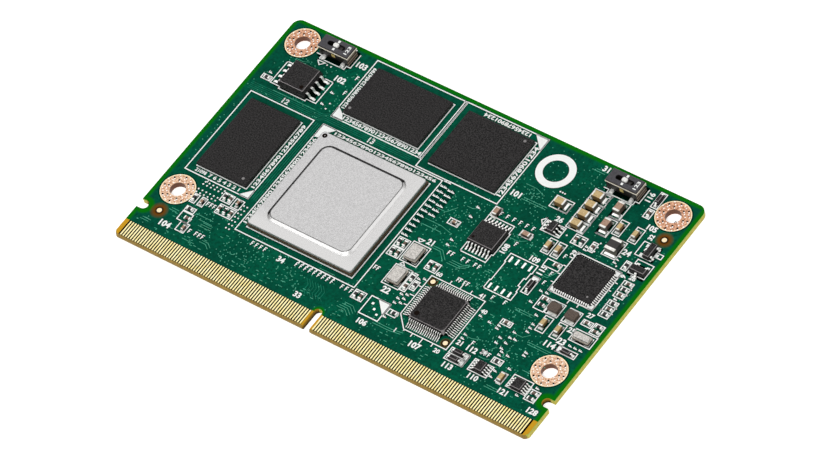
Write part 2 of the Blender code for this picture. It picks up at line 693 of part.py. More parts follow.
def transistors_and_diodes():
    """Two to eight leads on small moulded packages."""
    many = {
        "transistor_array": (62.55, 34.85, TRANSISTOR_ARRAY),
        "protection_left": (68.3, 7.25, PROTECTION_LEFT),
        "protection_right": (75.55, 7.35, PROTECTION_RIGHT),
    }
    for name, (x, y, (length, width, span, count, pitch)) in many.items():
        rows = [(side, count, pitch, SMALL_PACKAGE_LEAD_WIDTH) for side in ((1, 0), (-1, 0))]
        leaded_chip(name, x, y, (length, width), SMALL_PACKAGE_HEIGHT, span, rows)

    transistor = ((TRANSISTOR_LENGTH, TRANSISTOR_WIDTH), TRANSISTOR_HEIGHT, TRANSISTOR_SPAN)
    pair, single = (2, TRANSISTOR_LEAD_PITCH, TRANSISTOR_LEAD_WIDTH), (1, TRANSISTOR_LEAD_PITCH, TRANSISTOR_LEAD_WIDTH)
    leaded_chip("transistor_lower", 79.45, 34.45, *transistor, [((0, 1), *pair), ((0, -1), *single)])
    leaded_chip("transistor_upper", 79.0, 38.4, *transistor, [((0, -1), *pair), ((0, 1), *single)], turned=True)

    diodes = (
        ("diode_front_left", 63.6, 7.85, False),
        ("diode_front_right", 63.6, 6.5, False),
        ("diode_right", 78.4, 16.1, False),
        ("diode_middle", 65.9, 24.0, True),
        ("diode_rear", 74.35, 47.6, True),
    )
    rows = [(side, 1, DIODE_WIDTH, DIODE_LEAD_WIDTH) for side in ((1, 0), (-1, 0))]
    for name, x, y, turned in diodes:
        leaded_chip(name, x, y, (DIODE_LENGTH, DIODE_WIDTH), DIODE_HEIGHT, DIODE_SPAN, rows, turned)


def capacitors():
    row = spot(65.6, 37.15)
    pitch = CAP_0805[1] + CAP_ROW_GAP
    for i in range(4):
        place = row + Vector((0.0, i * pitch, 0.0))
        chip_capacitor(f"capacitor_rear_{i + 1}", place, CAP_0805)
    chip_capacitor("capacitor_rear_5", spot(60.9, 39.4), CAP_0805)
    chip_capacitor("capacitor_rear_6", spot(69.85, 42.95), CAP_0805, turned=True)
    chip_capacitor("capacitor_rear_7", spot(69.85, 39.25), CAP_0805, turned=True)
    upright = (
        (72.0, 40.0), (75.0, 40.0), (63.95, 31.7), (65.85, 31.7), (72.05, 18.95), (74.85, 18.95),
        (72.3, 7.2), (52.85, 33.1),
    )
    for i, (x, y) in enumerate(upright):
        chip_capacitor(f"capacitor_small_{i + 1}", spot(x, y), CAP_0603, turned=True)
    chip_capacitor("capacitor_small_9", spot(59.65, 31.65), CAP_0603)
    upright = ((9.2, 11.85), (14.65, 14.45), (9.75, 6.2))
    for i, (x, y) in enumerate(upright):
        chip_capacitor(f"capacitor_tiny_{i + 1}", spot(x, y), CAP_0402, turned=True)
    chip_capacitor("capacitor_tiny_4", spot(48.0, 28.2), CAP_0402)


def inductors():
    chip_capacitor("inductor_rear", spot(73.45, 36.35), LARGE_INDUCTOR, True, "inductor_brown")
    power_inductor("inductor_left", 72.0, 22.15)
    power_inductor("inductor_right", 75.3, 22.2)


def crystals():
    crystal("crystal_upper", 46.0, 20.15, CRYSTAL_SHORT, True)
    crystal("crystal_lower", 46.1, 15.25, CRYSTAL_SHORT, True)
    crystal("crystal_right", 79.1, 19.5, SLIM_CRYSTAL_SHORT, False)


def switches():
    slide_switch("left", 10.85, 47.0)
    slide_switch("right", 68.45, 47.0)


clear_scene()
circuit_board()
processor()
chips()
transistors_and_diodes()
capacitors()
inductors()
crystals()
switches()
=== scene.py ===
# %% [markdown]
# # A processor module, dressed
#
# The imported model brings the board, the chips and the two slide switches as plain solids. This
# script gives them their looks: green solder mask with white ink on it, gold contacts, tinned ends,
# moulded black packages and a satin metal lid. What repeats by the hundred, such as contacts, pads,
# solder balls and wiring holes, is grown by Geometry Nodes. The rest is built with bmesh.

# %% Load the frame
import math

import bmesh
import bpy
from mathutils import Matrix, Vector


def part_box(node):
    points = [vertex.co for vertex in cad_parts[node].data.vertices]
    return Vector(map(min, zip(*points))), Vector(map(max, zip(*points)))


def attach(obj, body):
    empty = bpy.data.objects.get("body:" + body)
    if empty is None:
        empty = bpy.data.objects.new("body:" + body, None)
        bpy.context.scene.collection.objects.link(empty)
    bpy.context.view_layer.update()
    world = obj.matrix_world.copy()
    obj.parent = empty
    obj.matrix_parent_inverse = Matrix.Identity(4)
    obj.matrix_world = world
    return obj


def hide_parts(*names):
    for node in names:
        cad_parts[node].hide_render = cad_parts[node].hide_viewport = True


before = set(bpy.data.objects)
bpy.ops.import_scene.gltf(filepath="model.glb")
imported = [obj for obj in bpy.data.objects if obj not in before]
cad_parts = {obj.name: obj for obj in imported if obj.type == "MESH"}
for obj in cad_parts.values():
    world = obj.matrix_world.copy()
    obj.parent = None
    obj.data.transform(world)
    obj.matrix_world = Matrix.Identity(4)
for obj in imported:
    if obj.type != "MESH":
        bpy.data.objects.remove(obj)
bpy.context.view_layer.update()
MM = 0.001
BOARD_LOW, BOARD_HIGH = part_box("circuit_board")
HALF_LENGTH = (BOARD_HIGH.x - BOARD_LOW.x) / 2
HALF_WIDTH = (BOARD_HIGH.y - BOARD_LOW.y) / 2

# %% [markdown]
# ## The camera
#
# The photograph was taken from far away with a long lens, about 51 degrees above the board and with
# the right end of the card edge nearest. Its place and turn were solved from the board's outline,
# its screw holes and the square chips, and are written here as plain numbers.

# %% Set the camera
camera_data = bpy.data.cameras.new("camera")
camera_data.sensor_width = 36.0
camera_data.lens = 254.34
camera_data.clip_end = 10.0
camera = bpy.data.objects.new("camera", camera_data)
camera.location = (0.43327, -0.37565, 0.71771)
camera.rotation_euler = [math.radians(a) for a in (37.4325, 10.0926, 36.1866)]
bpy.context.scene.collection.objects.link(camera)
bpy.context.scene.camera = camera
bpy.context.scene.view_settings.view_transform = "Standard"
print("camera", round(camera.location.length, 3), "m from the board")

# %% [markdown]
# ## Small helpers
#
# Colours are picked as they look on a screen, in sRGB, and Blender's shaders expect linear light, so
# one function turns one into the other. A second one adds a node with its settings and links, and a
# third turns the size of a pattern in millimetres into the scale that a texture node wants.

# %% Helpers for colours and nodes
def linear(code):
    """A colour such as "FFAA00" as linear light."""
    parts = [int(code[i : i + 2], 16) / 255 for i in (0, 2, 4)]
    lit = [p / 12.92 if p <= 0.04045 else ((p + 0.055) / 1.055) ** 2.4 for p in parts]
    return (*lit, 1.0)


def add_node(tree, kind, values=None, **settings):
    """Adds a node; values holds what goes into its inputs, either a constant or another's output."""
    node = tree.nodes.new(kind)
    for key, value in settings.items():
        setattr(node, key, value)
    for key, value in (values or {}).items():
        if isinstance(value, bpy.types.NodeSocket):
            tree.links.new(value, node.inputs[key])
        else:
            node.inputs[key].default_value = value
    return node


def per_mm(size):
    """The texture scale at which a pattern's features are this many millimetres across."""
    return 1.0 / (size * MM)


def finish(name, **shader_values):
    """A material with one Principled shader, whose constants sit on the shader's own sockets."""
    made = bpy.data.materials.new(name)
    made.use_nodes = True
    shader = made.node_tree.nodes["Principled BSDF"]
    for key, value in shader_values.items():
        shader.inputs[key.replace("_", " ")].default_value = value
    return made, made.node_tree, shader


def axes(tree, vector=None):
    """The X, Y and Z of a vector, or of the object's own coordinates where none is given."""
    if vector is None:
        vector = add_node(tree, "ShaderNodeTexCoord").outputs["Object"]
    return add_node(tree, "ShaderNodeSeparateXYZ", {0: vector}).outputs


def surface_normal(tree):
    return add_node(tree, "ShaderNodeNewGeometry").outputs["Normal"]


# %% Helpers for patterns
def grain(tree, size, detail=3.0, roughness=0.6):
    """Noise on the object's own coordinates, with features of a size in millimetres."""
    place = add_node(tree, "ShaderNodeTexCoord").outputs["Object"]
    values = {"Vector": place, "Scale": per_mm(size), "Detail": detail, "Roughness": roughness}
    return add_node(tree, "ShaderNodeTexNoise", values).outputs["Fac"]


def blend(tree, factor, low, high):
    """Mixes by a factor; each end is a colour such as "FFAA00", or another node's output."""
    low, high = (linear(end) if isinstance(end, str) else end for end in (low, high))
    return add_node(tree, "ShaderNodeMix", {0: factor, 6: low, 7: high}, data_type="RGBA").outputs[2]


def spread(tree, value, low, high, to_low=0.0, to_high=1.0):
    """Stretches a stretch of values over another one, and stops at its ends."""
    values = {"Value": value, "From Min": low, "From Max": high, "To Min": to_low, "To Max": to_high}
    return add_node(tree, "ShaderNodeMapRange", values).outputs["Result"]


def sums(tree, operation, first, second=0.0):
    return add_node(tree, "ShaderNodeMath", {0: first, 1: second}, operation=operation).outputs[0]


def lies_flat(tree):
    """One on surfaces that face up, nought on upright ones."""
    return spread(tree, axes(tree, surface_normal(tree))["Z"], 0.35, 0.8)


def wander(tree, size, low, high, reach=(0.3, 0.7)):
    """A pattern between two colours, in patches of a size in millimetres."""
    return blend(tree, spread(tree, grain(tree, size), *reach), low, high)


def paint(tree, shader, value, socket="Base Color"):
    """Feeds a pattern to one of the shader's sockets."""
    tree.links.new(value, shader.inputs[socket])


def bump(tree, shader, height, depth):
    """Feeds a height pattern to the shader, with its depth in millimetres."""
    values = {"Height": height, "Distance": depth * MM, "Strength": 1.0}
    paint(tree, shader, add_node(tree, "ShaderNodeBump", values).outputs["Normal"], "Normal")


# %% Helpers for materials and objects
# The noise as it comes, without a stretch.
EVEN = (0.0, 1.0)


def mottled(name, size, low, high, reach=(0.3, 0.7), relief=(), **shader_values):
    """A material between two colours; relief is its bumps' size and depth in millimetres."""
    look, tree, shader = finish(name, **shader_values)
    paint(tree, shader, wander(tree, size, low, high, reach))
    if relief:
        bump(tree, shader, grain(tree, relief[0]), relief[1])
    return look


def put(name, data):
    """Adds an object to the scene."""
    made = bpy.data.objects.new(name, data)
    bpy.context.scene.collection.objects.link(made)
    return made


# %% [markdown]
# ## Light and floor
#
# A product shot like this one has a wide soft light above and behind the board, which the bare metal
# mirrors towards the lens, and a weaker fill from the front. The world gives an even level all round.
# The floor and the world turn white only for rays that come from the camera or from a mirror, so the
# white background adds no light of its own.

# %% Hang the lamps
def soft_light(name, place, side, power):
    """A square lamp that aims at the middle of the board."""
    data = bpy.data.lights.new(name, "AREA")
    data.shape = "SQUARE"
    data.size = side
    data.energy = power
    lamp = put(name, data)
    lamp.location = place
    lamp.rotation_euler = Vector(place).to_track_quat("Z", "Y").to_euler()


soft_light("rear_softbox", (-0.46, 0.40, 0.76), 0.85, 2.3)
soft_light("front_key", (0.25, -0.60, 0.90), 0.30, 4.4)
soft_light("front_left_fill", (-0.50, -0.78, 0.42), 0.60, 1.6)
soft_light("rear_right_fill", (0.80, 0.44, 0.48), 0.60, 1.25)

# %% Light the world
WHITE = (1.0, 1.0, 1.0, 1.0)
world = bpy.data.worlds.new("studio")
bpy.context.scene.world = world
world.use_nodes = True
sky = world.node_tree
sky.nodes.clear()
ray = add_node(sky, "ShaderNodeLightPath")
way = axes(sky, add_node(sky, "ShaderNodeTexCoord").outputs["Generated"])
rear_left = sums(sky, "SUBTRACT", sums(sky, "MULTIPLY", way["Y"], 0.6), way["X"])
dimming = spread(sky, sums(sky, "SUBTRACT", rear_left, way["Z"]), 0.05, 0.45, 0.45, 0.08)
level = add_node(sky, "ShaderNodeBackground", {"Color": WHITE, "Strength": dimming})
white = add_node(sky, "ShaderNodeBackground", {"Color": WHITE, "Strength": 1.0})
choose = {0: ray.outputs["Is Camera Ray"], 1: level.outputs[0], 2: white.outputs[0]}
seen = add_node(sky, "ShaderNodeMixShader", choose)
add_node(sky, "ShaderNodeOutputWorld", {"Surface": seen.outputs[0]})

# %% Lay the floor
FLOOR_REACH, FLOOR_GLOW = 2.0, 0.62
drop = BOARD_LOW.z - 0.02 * MM
corners = ((-1, -1), (1, -1), (1, 1), (-1, 1))
floor_mesh = bpy.data.meshes.new("floor")
floor_mesh.from_pydata([(x * FLOOR_REACH, y * FLOOR_REACH, drop) for x, y in corners], [], [(0, 1, 2, 3)])
floor = put("floor", floor_mesh)
# Studio paper: even white without a gloss, so that only the soft shadow of the board shows on it.
paper, tree, _ = finish("floor_paper")
tree.nodes.clear()
ray = add_node(tree, "ShaderNodeLightPath")
mirror = sums(tree, "MAXIMUM", ray.outputs["Is Glossy Ray"], ray.outputs["Is Transmission Ray"])
seen = sums(tree, "MAXIMUM", ray.outputs["Is Camera Ray"], mirror)
glow = add_node(tree, "ShaderNodeEmission", {"Strength": sums(tree, "MULTIPLY", seen, FLOOR_GLOW)})
matt = add_node(tree, "ShaderNodeBsdfDiffuse", {"Color": (0.8, 0.8, 0.8, 1.0)})
both = add_node(tree, "ShaderNodeAddShader", {0: glow.outputs[0], 1: matt.outputs[0]})
add_node(tree, "ShaderNodeOutputMaterial", {"Surface": both.outputs[0]})
floor_mesh.materials.append(paper)

# %% [markdown]
# ## Places on the board
#
# Places are given in millimetres from the left end of the card edge, as on a layout drawing, and
# heights from the underside. `spot` turns them into metres in the model's own frame. The mask lies
# 0.05 mm below the bare copper and the contacts, as it does on a real board.

# %% The layout's origin and heights
LAYOUT_LENGTH, LAYOUT_WIDTH = 82.0, 50.0
MASK_TOP = 1.15
MASK_BOTTOM = 0.05
COPPER_TOP = 1.2
INK_THICKNESS = 0.015
SEAT = 1.23


def spot(x, y, z=0.0):
    across = (x / LAYOUT_LENGTH - 0.5) * 2 * HALF_LENGTH
    return Vector((across, (y / LAYOUT_WIDTH - 0.5) * 2 * HALF_WIDTH, z * MM))


def middle(node):
    low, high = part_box(node)
    return (low + high) / 2


def layout_box(node):
    """The node's box as x0, x1, y0, y1 and the heights z0 and z1, in layout millimetres."""
    low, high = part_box(node)
    x0, x1 = low.x / MM + LAYOUT_LENGTH / 2, high.x / MM + LAYOUT_LENGTH / 2
    y0, y1 = low.y / MM + LAYOUT_WIDTH / 2, high.y / MM + LAYOUT_WIDTH / 2
    return x0, x1, y0, y1, low.z / MM, high.z / MM


def layout_middle(node):
    x0, x1, y0, y1 = layout_box(node)[:4]
    return (x0 + x1) / 2, (y0 + y1) / 2


# %% [markdown]
# ## From mesh code to a piece
#
# Every piece is one object at the origin with its place in its mesh, rides on a body, and says which
# of the record's finishes it takes. Where it stands for a plain solid, that solid isn't shown.

# %% Helpers that make pieces
def as_mesh(name, bm):
    """Turns a bmesh into a mesh whose faces all look outwards."""
    bmesh.ops.recalc_face_normals(bm, faces=bm.faces)
    mesh = bpy.data.meshes.new(name)
    bm.to_mesh(mesh)
    bm.free()
    return mesh


def solid_object(name, bm):
    return put(name, as_mesh(name, bm))


def evaluated_mesh(carrier):
    """What an object looks like after its modifiers, as a plain mesh."""
    return bpy.data.meshes.new_from_object(carrier.evaluated_get(bpy.context.evaluated_depsgraph_get()))


def show(name, source, finishes, body="module", stands_for=()):
    """Turns a bmesh or a mesh into a finished piece."""
    mesh = as_mesh(name, source) if isinstance(source, bmesh.types.BMesh) else source
    mesh.name = name
    for look in finishes:
        mesh.materials.append(look)
    piece = put(name, mesh)
    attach(piece, body)
    if stands_for:
        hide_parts(*stands_for)
    print(name, "has", len(mesh.polygons), "faces")
    return piece


# %% Helpers for simple shapes
def rounded_outline(length, width, radius, steps):
    """A rectangle with round corners as points round the origin, in millimetres."""
    x, y = length / 2 - radius, width / 2 - radius
    points = []
    for cx, cy, start in ((-x, -y, 180), (x, -y, 270), (x, y, 0), (-x, y, 90)):
        for i in range(steps + 1):
            turn = math.radians(start + 90 * i / steps)
            points.append((cx + radius * math.cos(turn), cy + radius * math.sin(turn)))
    return points


def skin(bm, loops, index=0, capped=True):
    """Skins a stack of closed loops of metre points, and caps its ends."""
    rings = [[bm.verts.new(p) for p in loop] for loop in loops]
    made = []
    for lower, upper in zip(rings, rings[1:]):
        count = len(lower)
        for i in range(count):
            j = (i + 1) % count
            made.append(bm.faces.new((lower[i], lower[j], upper[j], upper[i])))
    if capped:
        made.append(bm.faces.new(rings[0][::-1]))
        made.append(bm.faces.new(rings[-1]))
    for face in made:
        face.material_index = index
    return made


def weld(bm, faces):
    """Joins a skin's last loop to its first, where both lie in the same place."""
    verts = list(dict.fromkeys(v for f in faces for v in f.verts))
    bmesh.ops.remove_doubles(bm, verts=verts, dist=1e-7)


def circle(x, y, radius, z, sides):
    turns = [2 * math.pi * i / sides for i in range(sides)]
    return [spot(x + radius * math.cos(t), y + radius * math.sin(t), z) for t in turns]


def prism(bm, points, z0, z1):
    """An upright solid over an outline of layout places."""
    skin(bm, [[spot(x, y, z) for x, y in points] for z in (z0, z1)])


def slab(bm, x0, x1, y0, y1, z0, z1):
    """A box between layout places."""
    prism(bm, ((x0, y0), (x1, y0), (x1, y1), (x0, y1)), z0, z1)


def disc(bm, x, y, radius, z0, z1, sides):
    skin(bm, [circle(x, y, radius, z, sides) for z in (z0, z1)])


def washer(bm, x, y, outer, inner, z0, z1, sides=48):
    """A flat ring with a hole through it."""
    levels = ((inner, z0), (outer, z0), (outer, z1), (inner, z1), (inner, z0))
    weld(bm, skin(bm, [circle(x, y, radius, z, sides) for radius, z in levels], capped=False))


# %% [markdown]
# ## Growing what repeats
#
# Two small Geometry Nodes trees do most of the repetition. `row_of_bars` lays a bar again and again
# along a line, as on contacts and on the pads of a chip's pins. `on_places` puts one shape on every
# point of a mesh, as with solder balls and the smallest parts. A third one, for the wiring holes,
# comes later. Each ends in Realize Instances and Set Material, and gives a plain mesh.

# %% Helpers that make and run a tree
def new_tree(name, inputs):
    """A Geometry Nodes tree with named inputs, and the outputs of its input node."""
    tree = bpy.data.node_groups.new(name, "GeometryNodeTree")
    tree.interface.new_socket("Geometry", in_out="INPUT", socket_type="NodeSocketGeometry")
    for label, kind in inputs.items():
        tree.interface.new_socket(label, in_out="INPUT", socket_type="NodeSocket" + kind)
    tree.interface.new_socket("Geometry", in_out="OUTPUT", socket_type="NodeSocketGeometry")
    return tree, add_node(tree, "NodeGroupInput").outputs


def end_tree(tree, instances, look):
    solid = add_node(tree, "GeometryNodeRealizeInstances", {"Geometry": instances})
    painted = add_node(tree, "GeometryNodeSetMaterial", {"Geometry": solid.outputs[0], "Material": look})
    add_node(tree, "NodeGroupOutput", {"Geometry": painted.outputs[0]})


def result_of(carrier, tree, values):
    """Runs a tree on an object and returns what it makes as a plain mesh; the object goes."""
    modifier = carrier.modifiers.new("grow", "NODES")
    modifier.node_group = tree
    for item in tree.interface.items_tree:
        if item.in_out == "INPUT" and item.name in values:
            modifier[item.identifier] = values[item.name]
    mesh = evaluated_mesh(carrier)
    carrier.modifiers.remove(modifier)
    bpy.data.objects.remove(carrier)
    return mesh


def grow(tree, values, places=()):
    """Runs a tree on a mesh of points."""
    seed = bpy.data.meshes.new(tree.name)
    seed.from_pydata([tuple(p) for p in places], [], [])
    return result_of(put(tree.name, seed), tree, values)


def gather(bm, mesh, index=0):
    """Adds a grown mesh to a bmesh and gives its faces one material."""
    first = len(bm.faces)
    bm.from_mesh(mesh)
    bm.faces.ensure_lookup_table()
    for face in bm.faces[first:]:
        face.material_index = index
    bpy.data.meshes.remove(mesh)


def instances(tree, points, shape, turn=None):
    """Puts a shape on every point of a tree's mesh."""
    laid = {"Points": points, "Instance": shape}
    if turn is not None:
        laid["Rotation"] = turn
    return add_node(tree, "GeometryNodeInstanceOnPoints", laid).outputs[0]


# %% Build the two trees
row_inputs = {"Count": "Int", "Start": "Vector", "Step": "Vector", "Size": "Vector", "Finish": "Material"}
row_of_bars, given = new_tree("row_of_bars", row_inputs)
run = {"Count": given["Count"], "Start Location": given["Start"], "Offset": given["Step"]}
line = add_node(row_of_bars, "GeometryNodeMeshLine", run, mode="OFFSET")
bar = add_node(row_of_bars, "GeometryNodeMeshCube", {"Size": given["Size"]})
end_tree(row_of_bars, instances(row_of_bars, line.outputs[0], bar.outputs[0]), given["Finish"])

on_places, given = new_tree("on_places", {"Shape": "Object", "Turn": "Float", "Finish": "Material"})
shape = add_node(on_places, "GeometryNodeObjectInfo", {"Object": given["Shape"]}).outputs["Geometry"]
turn = add_node(on_places, "ShaderNodeCombineXYZ", {"Z": given["Turn"]}).outputs[0]
end_tree(on_places, instances(on_places, given["Geometry"], shape, turn), given["Finish"])

# %% Helpers that lay rows and strew shapes
def bar_row(bm, look, count, first, step, size, index=0):
    """A row of bars on the board; the first place, the step and the size are in millimetres."""
    values = {
        "Count": count,
        "Start": spot(*first),
        "Step": Vector((*step, 0.0)) * MM,
        "Size": Vector(size) * MM,
        "Finish": look,
    }
    gather(bm, grow(row_of_bars, values), index)


def strew(bm, look, shape_bm, places, turn_degrees=0.0, index=0):
    """Puts one small shape on every place."""
    template = solid_object("shape", shape_bm)
    values = {"Shape": template, "Turn": math.radians(turn_degrees), "Finish": look}
    gather(bm, grow(on_places, values, places), index)
    bpy.data.meshes.remove(template.data)


def small_disc(radius, height):
    """A disc with eight sides round the origin, in millimetres, for strewing."""
    bm = bmesh.new()
    turns = [2 * math.pi * i / 8 for i in range(8)]
    points = [(radius * math.cos(t), radius * math.sin(t)) for t in turns]
    skin(bm, [[Vector((x, y, z)) * MM for x, y in points] for z in (0.0, height)])
    return bm


def small_block(length, width, height, chamfer, shift=0.0):
    """A block with its upper edges chamfered, standing on the origin or beside it, in millimetres."""
    bm = bmesh.new()

    def ring(inset, z):
        x, y = length / 2 - inset, width / 2 - inset
        return [Vector((shift + a * x, b * y, z)) * MM for a, b in ((-1, -1), (1, -1), (1, 1), (-1, 1))]

    skin(bm, [ring(chamfer / 2, 0.0), ring(0.0, chamfer), ring(0.0, height - chamfer), ring(chamfer, height)])
    return bm


# %% [markdown]
# ## Solder mask, laminate and copper
#
# The mask is a thin green lacquer over copper: smooth, a little glossy, and darker over the copper
# planes than along the edges, where light goes into the bare laminate below it. The laminate itself
# is glass cloth in yellow resin, and its cut edge shows thin copper layers. The material works out
# where it is from the object's own coordinates.

# %% Finish of the solder mask
FINGER_ZONE, BORDER = 3.35, 0.72
KEY_X, NOTCH_Y = 39.0, 7.0
LAYER_PITCH = 0.2
BARE_END, BARE_BESIDE_KEY = 0.8, 1.08
DOTS = ((3.9, 7.25, 0.43, 1.5), (79.42, 41.57, 0.42, 1.45), (51.7, 17.2, 0.42, 0.9), (60.45, 8.48, 0.42, 0.9))
# Round the notches and the key slot the mask has no copper below it, as along the board's border.
BARE_ROUND = ((1.0, NOTCH_Y, 1.45, 1.9), (LAYOUT_LENGTH - 1.0, NOTCH_Y, 1.45, 1.9), (KEY_X, 3.43, 0.95, 1.3))


def close_to(tree, x, y, near, far):
    """One beside a place on the board's top, falling to nought between two distances in millimetres."""
    values = {0: add_node(tree, "ShaderNodeTexCoord").outputs["Object"], 1: spot(x, y, MASK_TOP)}
    away = add_node(tree, "ShaderNodeVectorMath", values, operation="DISTANCE").outputs["Value"]
    return spread(tree, away, near * MM, far * MM, 1.0, 0.0)


# Lacquer over copper: an even dark green that clouds a little, with a soft sheen and no sharp highlight.
solder_mask, tree, shader = finish("green_solder_mask", Roughness=0.35, IOR=1.5, Specular_IOR_Level=0.015)
place = axes(tree)
side_x = sums(tree, "ABSOLUTE", place["X"])
on_border = 0.0
for across, half in ((side_x, HALF_LENGTH), (place["Y"], HALF_WIDTH)):
    over = spread(tree, across, half - BORDER * 1.3 * MM, half - BORDER * 0.7 * MM)
    on_border = sums(tree, "MAXIMUM", over, on_border)
for ring in BARE_ROUND:
    on_border = sums(tree, "MAXIMUM", on_border, close_to(tree, *ring))
plane = wander(tree, 6.0, "004C39", "005E44", (0.35, 0.65))
cloudy = blend(tree, spread(tree, grain(tree, 0.5), 0.4, 0.75), plane, "003F2E")
lacquer = blend(tree, on_border, cloudy, "046E08")
upper = sums(tree, "GREATER_THAN", place["Z"], 0.9 * MM)
for x, y, radius, halo in DOTS:
    near = sums(tree, "MULTIPLY", close_to(tree, x, y, halo * 0.6, halo * 1.1), upper)
    lacquer = blend(tree, near, lacquer, "6E4210")
    lacquer = blend(tree, close_to(tree, x, y, radius + 0.12, radius + 0.4), lacquer, "1C1004")
in_fingers = sums(tree, "LESS_THAN", place["Y"], spot(0, FINGER_ZONE).y)
from_key = sums(tree, "ABSOLUTE", sums(tree, "SUBTRACT", place["X"], spot(KEY_X, 0).x))
bare_end = sums(tree, "GREATER_THAN", side_x, HALF_LENGTH - BARE_END * MM)
beside_key = sums(tree, "LESS_THAN", from_key, BARE_BESIDE_KEY * MM)
bare = sums(tree, "MAXIMUM", bare_end, beside_key)
between = blend(tree, bare, "060400", "CE9A24")
paint(tree, shader, blend(tree, in_fingers, lacquer, between))
bump(tree, shader, grain(tree, 0.35), 0.004)

# %% Finishes of the laminate
# Glass cloth in resin: dull mustard yellow, with thin darker lines where the cut runs through a layer.
laminate, tree, shader = finish("glass_laminate_edge", Roughness=0.55)
place = axes(tree)
layers = sums(tree, "SINE", sums(tree, "MULTIPLY", place["Z"], 2 * math.pi * per_mm(LAYER_PITCH)))
upper_rim = spread(tree, place["Z"], 0.8 * MM, 1.05 * MM)
resin = blend(tree, upper_rim, wander(tree, 0.4, "C2B430", "E6DA5A"), "A6C23E")
in_front = sums(tree, "LESS_THAN", place["Y"], spot(0, 0.45).y)
cut = blend(tree, in_front, resin, wander(tree, 0.5, "82651C", "A5842C"))
paint(tree, shader, blend(tree, spread(tree, layers, 0.55, 0.95, 0.0, 0.55), cut, "7A6A1C"))
bump(tree, shader, layers, 0.01)

# The same laminate inside the slot and notches, with painted shade: amber near the top, and near
# black lower down.
routed_wall, tree, shader = finish("routed_laminate_in_shade", Roughness=0.7, Specular_IOR_Level=0.1)
lit = spread(tree, axes(tree)["Z"], 0.25 * MM, 1.1 * MM)
paint(tree, shader, blend(tree, lit, wander(tree, 0.3, "1E1404", "4A360C", EVEN), "BE9028"))

# %% Finishes of copper and solder
# Bare copper rings: warm pink metal, mottled by pressing and handling, and browner towards the rear.
copper, tree, shader = finish("bare_copper", Metallic=0.75, Roughness=0.42)
blotches = spread(tree, grain(tree, 0.3, 4.0, 0.85), 0.4, 0.6)
to_rear = spread(tree, axes(tree)["Y"], spot(0, 20).y, spot(0, 40).y)
front_copper_tone = blend(tree, blotches, "B07048", "FFE2C4")
rear_copper_tone = blend(tree, blotches, "8C4828", "F8C6A2")
paint(tree, shader, blend(tree, to_rear, front_copper_tone, rear_copper_tone))
bump(tree, shader, grain(tree, 0.18), 0.02)

# Solder that has climbed a part's end: bright on top, and grey on steep sides, a painted reflection
# of the mask.
fillet_tin, tree, shader = finish("solder_fillet", Metallic=0.5, Roughness=0.3)
wetted = blend(tree, spread(tree, grain(tree, 0.3, 3.0, 0.7), 0.36, 0.6), "C4C8C5", "FFFFFC")
paint(tree, shader, blend(tree, lies_flat(tree), "4E5250", wetted))
bump(tree, shader, grain(tree, 0.3), 0.05)

# %% Finishes of gold, ink and thin lacquer
# Thin gold over nickel: pale yellow metal that shines softly and clouds a little from bar to bar.
gold = mottled(
    "hard_gold_plate", 0.8, "F6E392", "FFF6C2", relief=(0.12, 0.003), Metallic=0.6, Roughness=0.3
)
# Pale bright copper, nearly white specks with a warm tint: the alignment dots' own colour, and a
# painted highlight on the screw pads' rims.
bright_copper = mottled("worn_bright_copper", 0.3, "F6D8A6", "FFF2D2", Metallic=0.6, Roughness=0.4)
# Solder that has melted and set: bright white metal with small soft ripples.
tin = mottled("reflowed_solder", 0.3, "E6E4E0", "FFFFFC", relief=(0.15, 0.01), Metallic=0.7, Roughness=0.28)
# Printed epoxy ink: chalky white, a little uneven, and without a gloss.
ink = mottled("white_epoxy_ink", 0.12, "FFFFFD", "EEF2EE", (0.35, 0.75), Roughness=0.55)
# Lacquer over fine tracks and holes: it stands up a little and catches a paler, bluer green.
wiring_green = mottled("mask_over_wiring", 1.5, "0A8A66", "44B896", Roughness=0.3)
# Lacquer over closely set tracks, seen as one band: a shade lighter than the mask round it.
band_green = mottled(
    "mask_over_dense_wiring", 1.2, "00614A", "0E8567", (0.35, 0.65), Roughness=0.3, Specular_IOR_Level=0.1
)
# Painted shade on the mask, beside thick ink and round the screw pads: green so dark that the ink
# looks whiter.
shaded_mask = mottled(
    "mask_beside_thick_ink", 0.4, "002A1E", "003A2B", Roughness=0.6, Specular_IOR_Level=0.0
)
# Painted shade for tiny plated holes, dimples and hollows: brown black, with no highlight.
dark_hole = mottled("shaded_hole", 0.1, "0A0604", "1E120B", EVEN, Roughness=0.9, Specular_IOR_Level=0.1)
# The screw holes' plated walls: dark copper, lit only from above.
hole_wall = mottled("plated_hole_wall", 0.2, "5A3524", "7E5038", EVEN, Metallic=0.6, Roughness=0.45)

# %% [markdown]
# ## The board
#
# The outline is walked once, with arcs for the key slot, the side notches and the rear corners. It
# is skinned through four levels so that the card edge gets its chamfers, and the screw holes are cut
# with Booleans. Faces are given their finish by where they point: lacquer up and down, laminate
# round the edge, and laminate with painted shade inside the key slot and the notches.

# %% Walk the board's outline
KEY_WIDTH, KEY_DEPTH = 1.45, 4.15
NOTCH_WIDTH, NOTCH_DEPTH = 1.7, 1.7
REAR_RADIUS, FRONT_CUT = 1.5, 0.5
CHAMFER_DEPTH, CHAMFER_RISE = 0.25, 0.35
SCREW_HOLES = ((4.0, 12.1), (78.0, 12.1), (78.0, 46.1), (4.0, 46.1))
HOLE_RADIUS, PAD_RADIUS = 1.35, 3.0


def arc(cx, cy, radius, start, end, steps=10):
    turns = [math.radians(start + (end - start) * i / steps) for i in range(steps + 1)]
    return [(cx + radius * math.cos(t), cy + radius * math.sin(t)) for t in turns]


